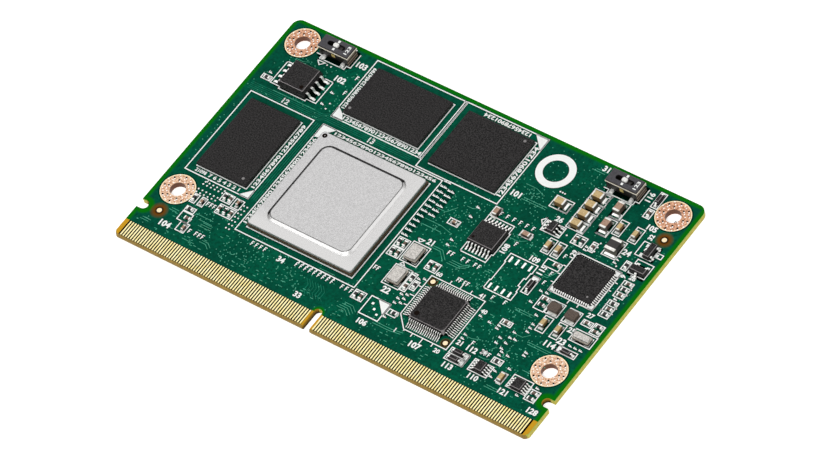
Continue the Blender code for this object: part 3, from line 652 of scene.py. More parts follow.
def board_outline(front):
    length, width = LAYOUT_LENGTH, LAYOUT_WIDTH
    key_r, notch_r = KEY_WIDTH / 2, NOTCH_WIDTH / 2
    points = [(FRONT_CUT, front), (KEY_X - key_r, front)]
    points += arc(KEY_X, KEY_DEPTH - key_r, key_r, 180, 0, 14)
    points += [(KEY_X + key_r, front), (length - FRONT_CUT, front), (length, front + FRONT_CUT)]
    points += [(length, NOTCH_Y - notch_r)]
    points += arc(length - NOTCH_DEPTH + notch_r, NOTCH_Y, notch_r, 270, 90, 12)
    points += [(length, NOTCH_Y + notch_r)]
    points += arc(length - REAR_RADIUS, width - REAR_RADIUS, REAR_RADIUS, 0, 90)
    points += arc(REAR_RADIUS, width - REAR_RADIUS, REAR_RADIUS, 90, 180)
    points += [(0.0, NOTCH_Y + notch_r)]
    points += arc(NOTCH_DEPTH - notch_r, NOTCH_Y, notch_r, 90, -90, 12)
    points += [(0.0, NOTCH_Y - notch_r), (0.0, front + FRONT_CUT)]
    return points


# %% Skin the board and drill it
bm = bmesh.new()
levels = (
    (CHAMFER_DEPTH, MASK_BOTTOM),
    (0.0, MASK_BOTTOM + CHAMFER_RISE),
    (0.0, MASK_TOP - CHAMFER_RISE),
    (CHAMFER_DEPTH, MASK_TOP),
)
skin(bm, [[spot(x, y, z) for x, y in board_outline(front)] for front, z in levels])
plate = solid_object("plate", bm)
bm = bmesh.new()
for x, y in SCREW_HOLES:
    disc(bm, x, y, HOLE_RADIUS, -1.0, 3.0, 48)
drill = solid_object("drill", bm)
cut = plate.modifiers.new("drill", "BOOLEAN")
cut.operation, cut.solver, cut.object = "DIFFERENCE", "EXACT", drill
mesh = evaluated_mesh(plate)
for tool in (plate, drill):
    bpy.data.objects.remove(tool)

# %% Give each face its finish
LACQUER, EDGE, HOLE, ROUTED = range(4)
NEAR_HOLE, NEAR_KEY, NEAR_NOTCH = 1.5 * MM, 0.8 * MM, 0.84 * MM
for polygon in mesh.polygons:
    place, facing = polygon.center, polygon.normal
    polygon.material_index = LACQUER if abs(facing.z) > 0.9 else EDGE
    if abs(facing.z) < 0.1:
        if any((place - spot(x, y)).xy.length < NEAR_HOLE for x, y in SCREW_HOLES):
            polygon.material_index = HOLE
        in_key = abs(place.x - spot(KEY_X, 0).x) < NEAR_KEY and facing.x > 0.5
        beside_notch = abs(place.y - spot(0, NOTCH_Y).y) < NEAR_NOTCH
        if in_key or (beside_notch and abs(place.x) < HALF_LENGTH - 0.1 * MM):
            polygon.material_index = ROUTED
finishes = [solder_mask, laminate, hole_wall, routed_wall]
show("board_laminate", mesh, finishes, stands_for=["circuit_board"])

# %% [markdown]
# ## Contacts and screw pads
#
# The contacts lie on a half millimetre pitch, counted out from the key slot on both faces, so that a
# wrong module doesn't fit. A chamfered strip of bare laminate shows in front of them. Each screw hole
# has a bare copper ring, tied to the inner layers by two circles of small plated holes.

# %% Grow the contacts
FINGER_PITCH, FINGER_WIDTH, FINGER_LENGTH, FINGER_FRONT = 0.5, 0.245, 2.95, 0.3


def contact_rows(bm, key_gap, margin, z0, z1):
    total = 0
    for side, reach in ((-1, KEY_X), (1, LAYOUT_LENGTH - KEY_X)):
        count = int((reach - margin - key_gap) / FINGER_PITCH + 1e-6) + 1
        first = (KEY_X + side * key_gap, FINGER_FRONT + FINGER_LENGTH / 2, (z0 + z1) / 2)
        size = (FINGER_WIDTH, FINGER_LENGTH, z1 - z0)
        bar_row(bm, gold, count, first, (side * FINGER_PITCH, 0.0), size)
        total += count
    return total


bm = bmesh.new()
upper = contact_rows(bm, 1.25, 1.2, MASK_TOP - 0.05, COPPER_TOP)
lower = contact_rows(bm, 1.0, 0.95, 0.0, MASK_BOTTOM + 0.05)
show("gold_contacts", bm, [gold])
print("contacts:", upper, "above and", lower, "below")

# %% Screw pads with their stitching holes
def rings_round_holes(name, look, outer, inner, *levels):
    """A flat ring round each screw hole, at one level or at more."""
    bm = bmesh.new()
    for x, y in SCREW_HOLES:
        for z0, z1 in levels:
            washer(bm, x, y, outer, inner, z0, z1)
    show(name, bm, [look])


holes = []
for x, y in SCREW_HOLES:
    for radius, count, phase in ((1.85, 12, 0.0), (2.55, 16, 0.2)):
        for i in range(count):
            t = 2 * math.pi * (i + phase) / count
            holes.append((x + radius * math.cos(t), y + radius * math.sin(t)))
pad_levels = ((MASK_TOP - 0.01, COPPER_TOP), (0.0, MASK_BOTTOM + 0.01))
rings_round_holes("screw_pads", copper, PAD_RADIUS, HOLE_RADIUS, *pad_levels)
bm = bmesh.new()
# Each stitching hole is a dark disc of painted shade, on top and underneath.
strew(bm, dark_hole, small_disc(0.17, 0.006), [spot(x, y, COPPER_TOP) for x, y in holes[::2]])
strew(bm, dark_hole, small_disc(0.11, 0.004), [spot(x, y, -0.004) for x, y in holes])
show("stitching_holes", bm, [dark_hole])
bm = bmesh.new()
# Painted glints: small bright tin discs beside the holes.
shine = [(x + 0.2, y - 0.2) for x, y in holes] + [(x - 0.22, y + 0.2) for x, y in holes[1::2]]
strew(bm, tin, small_disc(0.125, 0.009), [spot(x, y, COPPER_TOP) for x, y in shine])
show("stitching_hole_rims", bm, [tin])
# A painted highlight: a thin ring of pale copper round each screw pad's outer edge.
rim_level = (COPPER_TOP - 0.01, COPPER_TOP + 0.004)
rings_round_holes("screw_pad_rims", bright_copper, PAD_RADIUS, PAD_RADIUS - 0.16, rim_level)
# A ring of painted shade just outside each screw pad.
gap_level = (MASK_TOP - 0.02, MASK_TOP + 0.01)
rings_round_holes("screw_pad_gaps", shaded_mask, PAD_RADIUS + 0.22, PAD_RADIUS - 0.02, gap_level)

# %% Alignment dots
bm = bmesh.new()
for x, y, radius, _ in DOTS:
    disc(bm, x, y, radius, MASK_TOP, MASK_TOP + 0.03, 24)
show("alignment_dots", bm, [bright_copper])

# %% [markdown]
# ## White ink
#
# Outlines, corner marks and numbers are silk-screened in white epoxy, in lines about 0.2 mm wide. An
# outline is a strip with mitred corners. The numbers beside the parts are plain counting numbers.
# The ink stands thick on the board, and each line and number also gets a narrow dark strip of
# painted shade underneath, on the lacquer beside it.

# %% Helpers for ink
LINE, THIN_LINE = 0.2, 0.18


def ink_line(bm, points, width, closed=False, z=MASK_TOP):
    """A flat strip along layout points, with mitred corners."""
    path = [Vector(p) for p in points]
    count = len(path)
    stations = []
    for i, here in enumerate(path):
        before = path[i - 1] if i or closed else None
        after = path[(i + 1) % count] if i < count - 1 or closed else None
        ahead = (after - here).normalized() if after is not None else (here - before).normalized()
        back = (here - before).normalized() if before is not None else ahead
        normal = Vector((-ahead.y - back.y, ahead.x + back.x))
        normal /= max(0.3, normal.length * normal.normalized().dot(Vector((-ahead.y, ahead.x))))
        push = normal * width / 2 if normal.length else Vector((0, 0))
        if before is None or after is None:
            here = here + ahead * width / 2 * (1 if after is None else -1)
        left, right, top = here + push, here - push, z + INK_THICKNESS
        corners = ((left, z), (left, top), (right, top), (right, z))
        stations.append([spot(at.x, at.y, height) for at, height in corners])
    if closed:
        weld(bm, skin(bm, stations + stations[:1], capped=False))
    else:
        skin(bm, stations)


def ink_number(bm, text, x, y, height, turned, width, z, bold=0.025):
    """Digits of a height in millimetres round a place, stretched to a width where one is given."""
    curve = bpy.data.curves.new("digits", "FONT")
    curve.body = text
    curve.resolution_u = 2
    curve.extrude = 0.5
    curve.offset = bold
    carrier = put("digits", curve)
    mesh = evaluated_mesh(carrier)
    bpy.data.objects.remove(carrier)
    low = Vector([min(v.co[k] for v in mesh.vertices) for k in range(3)])
    high = Vector([max(v.co[k] for v in mesh.vertices) for k in range(3)])
    size = high - low
    tall = height / size.y
    wide = width / size.x if width else tall
    shift = Matrix.Translation(-(low + high) / 2)
    scale = Matrix.Diagonal((wide * MM, tall * MM, INK_THICKNESS * MM / size.z, 1.0))
    rise = Matrix.Translation(spot(x, y, z + INK_THICKNESS / 2))
    mesh.transform(rise @ Matrix.Rotation(math.radians(turned), 4, "Z") @ scale @ shift)
    gather(bm, mesh)


# %% Outlines round the packages
SHADE_Z, SHADE_REACH = MASK_TOP - INK_THICKNESS + 0.003, 0.11
ink_bm, shade_bm = bmesh.new(), bmesh.new()


def shaded_line(points, width, closed=False):
    """A line of ink, and a wider strip of painted shade below it."""
    ink_line(ink_bm, points, width, closed)
    ink_line(shade_bm, points, width + 2 * SHADE_REACH, closed, SHADE_Z)


def shaded_boxes(boxes, inset, width):
    for x0, x1, y0, y1 in boxes:
        x0, x1, y0, y1 = x0 + inset, x1 - inset, y0 + inset, y1 - inset
        shaded_line(((x0, y0), (x1, y0), (x1, y1), (x0, y1)), width, closed=True)


PACKAGE_BOXES = (
    (2.35, 15.4, 16.05, 34.1), (3.72, 13.98, 17.47, 32.73), (17.25, 35.55, 36.1, 49.1),
    (18.72, 33.98, 37.42, 47.68), (35.55, 51.75, 34.55, 49.15), (37.12, 50.38, 35.92, 47.68),
    (17.15, 41.25, 10.15, 34.25), (18.55, 39.85, 11.45, 32.75), (68.7, 77.2, 24.75, 33.1),
    (44.65, 48.45, 6.6, 10.35),
)
shaded_boxes(PACKAGE_BOXES, 0.04, LINE)

# %% Outlines round the small parts
SMALL_BOXES = (
    (2.0, 3.95, 37.0, 38.05), (44.2, 47.7, 18.1, 22.35), (44.3, 47.75, 13.1, 17.35),
    (77.0, 81.2, 18.4, 20.9), (72.0, 74.75, 34.5, 38.3), (70.6, 73.15, 20.85, 23.7),
    (73.9, 76.45, 20.8, 23.7), (63.9, 67.35, 36.2, 44.8), (59.2, 62.75, 38.25, 40.8),
    (68.85, 70.95, 41.2, 44.75), (68.85, 70.95, 37.45, 41.0), (71.15, 72.75, 38.55, 41.75),
    (74.2, 75.85, 38.55, 41.75), (63.2, 64.75, 30.25, 33.4), (65.0, 66.55, 30.25, 33.4),
    (71.25, 72.95, 17.35, 20.65), (74.0, 75.6, 17.35, 20.65), (46.7, 48.85, 27.65, 28.95),
    (51.8, 53.15, 32.45, 34.3), (58.35, 60.5, 31.2, 32.5), (71.45, 72.8, 6.35, 8.45),
    (65.65, 67.8, 15.75, 16.85), (8.4, 10.25, 5.35, 7.35), (13.7, 15.45, 13.35, 15.35),
    (66.3, 70.05, 6.05, 8.5), (73.5, 77.35, 6.35, 9.05), (76.7, 79.95, 37.0, 40.0),
    (77.8, 81.05, 33.55, 36.6), (61.8, 65.45, 7.25, 8.5), (61.8, 65.45, 5.95, 7.15),
    (65.0, 66.55, 22.3, 26.0), (73.6, 74.95, 45.85, 49.2), (73.6, 74.95, 43.65, 45.6),
    (76.4, 80.15, 15.6, 16.95), (65.1, 68.15, 28.25, 29.85), (12.0, 15.35, 11.2, 13.25),
    (11.25, 13.45, 13.6, 15.45), (41.65, 43.9, 8.35, 10.25), (41.65, 44.0, 18.05, 20.0),
    (41.65, 44.0, 20.0, 22.0), (48.75, 51.1, 18.55, 20.55), (47.75, 48.9, 13.3, 17.25),
    (49.0, 50.1, 14.15, 16.15), (48.65, 50.55, 8.45, 9.7), (68.75, 70.75, 9.0, 10.2),
    (77.35, 79.4, 5.75, 8.05), (66.35, 68.75, 33.95, 36.0), (69.7, 70.8, 33.95, 36.0),
    (76.4, 77.55, 33.55, 35.5), (68.5, 70.6, 20.75, 23.6), (77.0, 79.0, 21.75, 22.95),
    (79.1, 81.05, 21.0, 23.2), (78.35, 80.3, 24.5, 28.0), (78.3, 80.3, 28.7, 32.2),
    (60.7, 64.45, 33.75, 36.05), (7.35, 9.35, 9.15, 10.35), (7.35, 9.65, 7.2, 9.15),
    (7.0, 8.15, 11.0, 12.95), (8.55, 9.75, 11.0, 12.9), (65.95, 67.3, 42.95, 44.75),
    (65.95, 67.3, 40.75, 42.3), (65.95, 67.3, 38.6, 40.1), (65.95, 67.3, 36.4, 38.2),
    (68.85, 70.8, 41.15, 42.4), (68.85, 70.8, 37.5, 38.7), (60.9, 62.7, 38.3, 40.3),
)
shaded_boxes(SMALL_BOXES, 0.09, THIN_LINE)

# %% Lines that close no box
LOOSE_LINES = (
    ((4.15, 41.85), (4.15, 37.0), (6.1, 37.0), (6.1, 36.6), (11.6, 36.6), (11.6, 37.0), (13.5, 37.0),
     (13.5, 41.85)), ((4.15, 41.85), (6.1, 41.85)), ((11.9, 41.85), (13.5, 41.85)),
    ((35.12, 36.1), (35.12, 49.1)),
    ((53.2, 7.5), (61.3, 7.5), (61.3, 18.1), (50.8, 18.1), (50.8, 9.7), (53.2, 7.3)),
    ((54.8, 7.3), (54.8, 6.9)), ((56.8, 7.3), (56.8, 6.5)), ((58.8, 7.3), (58.8, 6.9)),
    ((54.3, 18.3), (54.3, 18.7)), ((56.3, 18.3), (56.3, 19.1)), ((58.3, 18.3), (58.3, 18.7)),
    ((50.6, 15.5), (50.2, 15.5)), ((50.6, 13.5), (49.9, 13.5)), ((50.6, 11.5), (50.2, 11.5)),
    ((51.9, 24.3), (56.85, 24.3), (56.85, 26.0), (57.15, 26.0), (57.15, 30.7), (56.85, 30.7),
     (56.85, 32.3), (51.9, 32.3), (51.9, 24.3)),
    ((59.4, 20.2), (64.7, 20.2), (64.7, 22.0), (64.5, 22.0), (64.5, 23.1), (64.1, 23.1), (64.1, 24.7),
     (64.5, 24.7), (64.5, 26.0), (64.7, 26.0), (64.7, 27.75), (59.4, 27.75), (59.4, 26.0),
     (59.6, 26.0), (59.6, 22.0), (59.4, 22.0), (59.4, 20.2)),
    ((14.2, 48.5), (14.2, 45.6), (13.4, 45.6), (13.4, 44.9), (8.4, 44.9), (8.4, 45.6), (7.4, 45.6)),
    ((71.75, 48.5), (71.75, 45.6), (71.0, 45.6), (71.0, 44.9), (65.9, 44.9), (65.9, 45.6),
     (65.0, 45.6)), ((8.35, 44.5), (9.9, 44.5), (9.15, 43.75), (8.35, 44.5)),
    ((65.85, 44.5), (67.3, 44.5), (66.6, 43.75), (65.85, 44.5)),
    ((44.55, 23.1), (45.75, 23.1), (45.15, 22.5), (44.55, 23.1)),
    ((44.8, 17.5), (45.85, 17.5), (45.3, 18.0), (44.8, 17.5)), ((63.9, 38.3), (67.35, 38.3)),
    ((63.9, 40.3), (67.35, 40.3)), ((63.9, 42.3), (67.35, 42.3)), ((78.35, 25.7), (80.4, 25.7)),
    ((78.35, 26.9), (80.4, 26.9)), ((78.35, 29.8), (80.4, 29.8)), ((78.35, 31.0), (80.4, 31.0)),
    ((79.95, 38.1), (81.1, 38.1), (81.1, 38.95), (79.95, 38.95)),
    ((60.5, 36.2), (59.9, 35.5), (60.5, 34.8), (60.5, 36.2)), ((77.2, 31.0), (77.7, 31.0)),
    ((77.2, 29.3), (77.6, 29.3)), ((68.6, 31.7), (68.1, 31.7)), ((68.6, 29.9), (68.2, 29.9)),
    ((68.6, 28.2), (68.1, 28.2)), ((68.6, 26.4), (68.2, 26.4)), ((72.9, 24.6), (72.9, 24.1)),
    ((74.7, 24.6), (74.7, 24.2)), ((79.0, 45.3), (79.0, 45.0)), ((7.4, 16.0), (7.4, 15.6)),
)
for points in LOOSE_LINES:
    shaded_line(points, THIN_LINE)

# %% Corner marks and the ring
SOLID_MARKS = (
    ((13.4, 16.05), (15.4, 16.05), (15.4, 18.1)),
    ((17.25, 36.1), (19.6, 36.1), (18.7, 37.4), (17.25, 38.4)),
    ((49.1, 49.15), (51.75, 46.5), (51.75, 49.15)),
    ((17.15, 34.25), (17.15, 31.4), (18.5, 31.7), (18.9, 33.1), (20.0, 34.25)),
    ((46.0, 10.35), (48.45, 7.9), (48.45, 10.35)), ((68.7, 33.1), (68.7, 32.4), (69.5, 33.1)),
    ((64.75, 7.3), (65.5, 7.3), (65.5, 8.45), (64.75, 8.45)),
    ((64.75, 6.0), (65.5, 6.0), (65.5, 7.1), (64.75, 7.1)),
    ((65.0, 25.15), (66.5, 25.15), (66.5, 25.95), (65.0, 25.95)),
    ((76.4, 15.65), (77.1, 15.65), (77.1, 16.9), (76.4, 16.9)),
    ((75.9, 33.1), (77.2, 33.1), (77.2, 31.9), (76.5, 32.1)),
    ((77.2, 24.75), (76.0, 24.75), (76.2, 25.3), (77.2, 25.8)),
    ((68.7, 24.75), (69.9, 24.75), (69.4, 25.3), (68.7, 26.0)),
)
for points in SOLID_MARKS:
    prism(ink_bm, points, MASK_TOP, MASK_TOP + INK_THICKNESS)
    ink_line(shade_bm, points, 2 * SHADE_REACH, closed=True, z=SHADE_Z)
# Painted shade under the rows of small marks beside the lid.
PAD_ROW_SHADES = ((41.5, 42.9, 22.2, 34.5), (43.1, 44.5, 27.5, 33.4))
for area in PAD_ROW_SHADES:
    slab(shade_bm, *area, MASK_TOP - 0.02, MASK_TOP + 0.002)
RING, RING_OUTER, RING_INNER = (56.3, 44.5), 3.35, 2.15
washer(ink_bm, *RING, RING_OUTER, RING_INNER, MASK_TOP, MASK_TOP + INK_THICKNESS)
outer, inner = RING_OUTER + SHADE_REACH, RING_INNER - SHADE_REACH
washer(shade_bm, *RING, outer, inner, MASK_TOP - 0.01, MASK_TOP + 0.003)

# %% Plain numbers
NUMBERS = (
    ("12", 8.85, 35.0, 1.15, 0), ("13", 26.2, 35.2, 1.15, 0), ("101", 53.3, 37.75, 1.2, 0),
    ("102", 14.2, 42.85, 1.2, 0), ("103", 15.7, 46.85, 1.2, 0), ("104", 6.4, 5.55, 1.25, 0),
    ("105", 76.45, 42.5, 1.1, 0), ("106", 46.3, 5.4, 1.1, 0), ("107", 56.45, 5.75, 1.2, 0),
    ("108", 58.0, 28.05, 1.1, 90), ("109", 63.5, 28.55, 1.05, 0), ("110", 68.1, 5.3, 1.1, 0),
    ("121", 73.85, 5.3, 1.1, 0), ("112", 64.9, 9.55, 1.1, 0), ("113", 63.3, 5.1, 1.1, 0),
    ("114", 75.15, 16.2, 1.15, 0), ("115", 65.7, 27.45, 1.1, 90), ("116", 72.65, 47.45, 1.1, 90),
    ("21", 46.8, 23.3, 1.15, 0), ("22", 46.0, 12.3, 1.2, 0), ("23", 76.4, 17.6, 1.2, 0),
    ("24", 75.6, 36.65, 1.15, 0), ("25", 76.6, 20.1, 1.05, 0), ("26", 62.4, 36.9, 1.1, 0),
    ("27", 77.6, 23.85, 0.95, 0), ("128", 80.1, 4.5, 1.1, 0), ("1", 51.9, 6.7, 0.8, 0),
    ("20", 60.1, 6.6, 0.85, 0), ("21", 62.4, 9.65, 0.95, 0), ("60", 51.75, 18.85, 0.85, 0),
    ("41", 60.2, 18.75, 0.85, 0), ("40", 62.3, 16.4, 0.85, 0), ("31", 63.3, 48.7, 1.15, 0),
    ("9", 77.75, 32.6, 1.0, 90), ("28", 79.25, 33.0, 0.9, 0), ("29", 68.2, 32.6, 0.9, 90),
    ("30", 66.9, 10.0, 0.95, 0), ("32", 77.3, 41.0, 0.9, 90), ("33", 34.0, 4.65, 1.1, 0),
    ("34", 27.5, 8.9, 1.1, 0),
)
number_bm = bmesh.new()
LONG_SCALES = (
    ("1234567890123456789", 14.68, 25.35, 0.74, 90, 14.3), ("21098", 5.15, 16.85, 0.72, 0, 2.2),
    ("7 6 5 4 3 2 1", 9.9, 16.85, 0.78, 0, 6.3),
    ("123456789012345678901234", 27.1, 36.85, 0.85, 0, 15.7),
    ("1234567890123456789", 18.0, 42.95, 0.72, 90, 9.2),
    ("12345678901234", 43.95, 48.42, 0.82, 180, 9.2), ("12345678901234", 50.95, 41.5, 0.95, 90, 11.0),
    ("12345678901234567890123456", 17.8, 21.6, 0.75, 90, 19.2),
    ("12345678901234567890123456", 30.2, 33.55, 0.62, 0, 20.4),
)
for z, thicker, bm in ((MASK_TOP, 0.0, number_bm), (SHADE_Z, SHADE_REACH, shade_bm)):
    for text, x, y, height, turned in NUMBERS:
        bold = 0.04 + thicker / height * 0.5
        ink_number(bm, text, x, y, height + thicker, turned, None, z, bold)
    for text, x, y, height, turned, width in LONG_SCALES:
        bold = 0.035 + thicker / height * 0.25
        ink_number(bm, text, x, y, height + thicker, turned, width + thicker, z, bold)
show("ink_outlines", ink_bm, [ink])
show("ink_numbers", number_bm, [ink])
print("ink:", len(PACKAGE_BOXES) + len(SMALL_BOXES), "boxes,", len(NUMBERS), "numbers")

# %% [markdown]
# Rows of tiny marks stand beside the smallest parts, too small to read at this distance. Each shows
# as a small open bracket, so one bracket is drawn in two sizes and strewn along the rows.

# %% Grow the rows of tiny marks
def bracket(tall, reach, line, depth):
    """A small open mark, a spine with two arms, of a height and a width in millimetres."""
    bm = bmesh.new()
    x, y, spine, arm = reach / 2, tall / 2, line - reach / 2, 0.06
    corners = ((-x, -y), (-x, y), (x, y), (x, y - line), (spine, y - line), (spine, arm))
    corners += ((x * 0.6, arm), (x * 0.6, arm - line), (spine, arm - line), (spine, -y))
    skin(bm, [[Vector((a, b, z)) * MM for a, b in corners] for z in (0.0, depth)])
    return bm


def run_of(x0, y0, x1=None, y1=None, pitch=1.0):
    """Places along a run, or the one place where no far end is given."""
    if x1 is None:
        return [spot(x0, y0, MASK_TOP)]
    count = round(math.hypot(x1 - x0, y1 - y0) / pitch)
    return [spot(x0 + (x1 - x0) * i / count, y0 + (y1 - y0) * i / count, MASK_TOP) for i in range(count + 1)]


TALL_ROWS = (
    (53.5, 33.35, 59.8, 33.35, 1.2), (50.6, 23.1, 51.3, 23.1, 0.65), (53.3, 23.1, 54.3, 23.1, 1.0),
    (55.7, 23.1, 56.5, 23.1, 0.75), (10.2, 12.1, 11.5, 12.1, 0.62), (12.1, 6.35, 13.5, 6.35, 0.65),
    (10.85, 6.3), (55.0, 19.5, 55.5, 19.5, 0.55), (56.3, 19.45, 56.9, 19.45, 0.6), (61.9, 19.3),
    (64.2, 19.4), (41.8, 15.1, 42.4, 15.1, 0.6), (66.7, 9.9, 67.9, 9.9, 0.6),
    (30.3, 9.4, 37.4, 9.4, 0.89), (21.4, 9.3, 24.0, 9.3, 0.87), (39.4, 9.4, 41.2, 9.4, 0.9),
    (59.1, 29.6), (16.5, 41.0, 16.5, 44.4, 3.4), (67.4, 25.6, 67.4, 31.4, 1.9), (64.3, 10.6),
)
FLAT_ROWS = (
    (41.85, 22.6, 41.85, 34.4, 1.05), (42.5, 22.6, 42.5, 34.4, 1.05), (43.45, 27.8, 43.45, 33.1, 1.05),
    (44.1, 27.8, 44.1, 33.1, 1.05), (49.5, 32.65), (49.5, 30.6), (49.5, 24.3, 49.5, 25.4, 1.1),
    (48.7, 11.0, 48.7, 12.9, 0.95), (49.6, 11.4, 49.6, 13.2, 0.9), (49.4, 16.6, 50.3, 17.0, 0.9),
    (48.9, 8.0), (64.3, 15.2), (66.0, 14.8, 66.0, 15.4, 0.6), (67.5, 12.5, 67.5, 13.6, 1.0),
    (68.9, 12.0, 68.9, 15.5, 1.15), (69.8, 14.4), (69.3, 10.8, 69.3, 11.5, 0.7), (70.6, 11.3),
    (70.6, 16.6, 70.6, 18.2, 0.8), (72.8, 12.6, 72.8, 13.2, 0.7), (72.3, 9.4), (70.5, 8.0), (70.5, 6.8),
    (78.3, 8.5), (76.2, 5.9), (62.3, 15.5), (62.3, 10.6, 62.3, 11.4, 0.8), (67.9, 24.1), (67.7, 21.6),
    (69.0, 24.2), (14.6, 40.1), (14.5, 37.5), (70.0, 19.9), (78.1, 17.6, 80.1, 17.6, 1.0), (3.0, 38.7),
    (79.2, 28.4), (69.4, 34.0, 69.4, 34.6, 0.7), (75.0, 34.2, 75.0, 35.6, 0.7),
)
DOT_ROWS = (
    (15.7, 9.7, 15.7, 14.6, 0.8), (16.35, 9.7, 16.35, 14.6, 0.8), (6.95, 13.2, 10.85, 13.2, 0.78),
    (6.95, 13.85, 10.85, 13.85, 0.78), (7.05, 14.95, 10.95, 14.95, 0.78),
    (7.15, 15.5, 11.05, 15.5, 0.78), (10.4, 44.3, 11.2, 44.3, 0.7), (65.2, 34.9),
    (30.4, 9.95, 37.4, 9.95, 0.89), (59.3, 41.5, 60.2, 41.5, 0.45), (70.9, 34.4, 70.9, 36.2, 0.9),
    (75.6, 33.7), (15.6, 36.9, 15.6, 38.1, 1.2), (64.1, 42.9),
)
bm = bmesh.new()
for target, look, more, depth in ((bm, ink, 0.0, INK_THICKNESS), (shade_bm, shaded_mask, 0.2, 0.003)):
    shapes = (
        (TALL_ROWS, bracket(0.85 + more, 0.44 + more, 0.16 + more, depth), 0.0),
        (FLAT_ROWS, bracket(0.7 + more, 0.4 + more, 0.16 + more, depth), 90.0),
        (DOT_ROWS, small_disc(0.16 + more / 2, depth), 0.0),
    )
    for rows, shape, turned in shapes:
        strew(target, look, shape, [p for row in rows for p in run_of(*row)], turned)
show("ink_small_marks", bm, [ink])
show("mask_beside_ink", shade_bm, [shaded_mask])
print("rows of small marks:", len(TALL_ROWS) + len(FLAT_ROWS) + len(DOT_ROWS))

# %% [markdown]
# ## Wiring under the mask
#
# Copper tracks show through the lacquer as slightly raised, lighter lines, and every change of layer
# is a plated hole that the mask leaves as a pale dot. The tracks are short runs that turn by 45
# degrees; the dots are strewn where the board is busy.

# %% Draw the tracks
TRACK = 0.08
bm = bmesh.new()
for i in range(5):
    y = 34.45 + 0.34 * i
    points = ((1.4, y - 0.05), (4.2, y - 0.05), (4.4, y), (15.9, y), (16.7, y + 0.5), (34.0, y + 0.5))
    ink_line(bm, points, TRACK)
for i in range(3):
    ink_line(bm, ((15.9 + 0.4 * i, 16.4), (15.9 + 0.4 * i, 33.9)), TRACK)
for i in range(7):
    x = 33.4 + 0.55 * i
    ink_line(bm, ((x, 8.0), (x + 0.9, 7.1), (x + 0.9, 6.0), (x + 1.5, 5.4)), TRACK)
show("wiring_band", bm, [band_green])
bm = bmesh.new()
BUNDLES = (
    (43.4, 25.7, 3.6, 0.0, 1), (43.2, 26.8, 5.4, -0.5, 1), (54.6, 37.4, 4.4, 0.0, 2),
    (72.0, 14.6, 4.0, 0.0, 2), (9.7, 9.65, 3.4, 0.0, 1), (70.6, 4.8, 2.6, 0.0, 2),
    (47.8, 32.0, 1.8, 0.4, 1), (57.8, 23.0, 0.9, 0.0, 2), (51.4, 21.3, 3.4, 0.5, 3),
    (40.9, 6.0, 2.6, -0.8, 4), (66.4, 19.1, 3.2, 0.0, 2), (57.4, 30.2, 2.9, 0.8, 1),
    (47.0, 22.6, 3.6, -1.4, 2), (69.2, 15.3, 2.2, 0.9, 1), (53.6, 40.2, 3.4, -0.5, 1),
    (5.0, 43.0, 2.4, 0.4, 1), (10.8, 8.9, 2.6, 0.0, 1), (61.4, 11.2, 3.6, 0.5, 1),
    (74.2, 10.2, 4.8, 0.5, 1), (61.6, 47.7, 2.0, 0.0, 2), (5.6, 35.9, 8.5, 0.0, 1),
    (66.5, 9.0, 1.9, 0.3, 1), (47.9, 6.1, 5.2, 0.3, 2), (34.0, 10.6, 3.0, 0.0, 1),
    (66.3, 26.6, 1.6, 1.4, 3), (43.6, 29.4, 3.0, 1.6, 1), (2.0, 4.6, 1.6, 0.0, 2),
    (5.2, 8.3, 1.4, 0.0, 2), (11.4, 7.9, 1.8, 0.0, 3), (13.6, 5.4, 2.0, -0.6, 2),
    (10.6, 4.6, 2.4, 0.0, 1), (46.8, 17.2, 2.0, 0.6, 1),
)
for x, y, dx, dy, count in BUNDLES:
    for i in range(count):
        a, b = x + 0.25 * i, y + 0.4 * i
        ink_line(bm, ((a, b), (a + dx * 0.6, b), (a + dx + 0.01, b + dy)), TRACK)
show("wiring_tracks", bm, [wiring_green])

# %% Build a tree that strews over an area
via_inputs = {"Density": "Float", "Seed": "Int", "Shape": "Object", "Finish": "Material"}
strewn_holes, given = new_tree("strewn_holes", via_inputs)
ground = {"Mesh": given["Geometry"], "Density": given["Density"], "Seed": given["Seed"]}
points = add_node(strewn_holes, "GeometryNodeDistributePointsOnFaces", ground).outputs["Points"]
shape = add_node(strewn_holes, "GeometryNodeObjectInfo", {"Object": given["Shape"]}).outputs["Geometry"]
end_tree(strewn_holes, instances(strewn_holes, points, shape), given["Finish"])


def strewn_piece(name, z, *fields):
    """Small shapes over rectangles of the board, always in the same places."""
    bm = bmesh.new()
    for areas, per_square_mm, seed, shape in fields:
        base = bmesh.new()
        for x0, x1, y0, y1 in areas:
            corners = ((x0, y0), (x1, y0), (x1, y1), (x0, y1))
            base.faces.new([base.verts.new(spot(x, y, z)) for x, y in corners])
        template = solid_object("wiring_shape", shape)
        values = {"Density": per_square_mm / MM**2, "Seed": seed, "Shape": template, "Finish": wiring_green}
        gather(bm, result_of(solid_object("ground", base), strewn_holes, values))
        bpy.data.objects.remove(template)
    show(name, bm, [wiring_green])


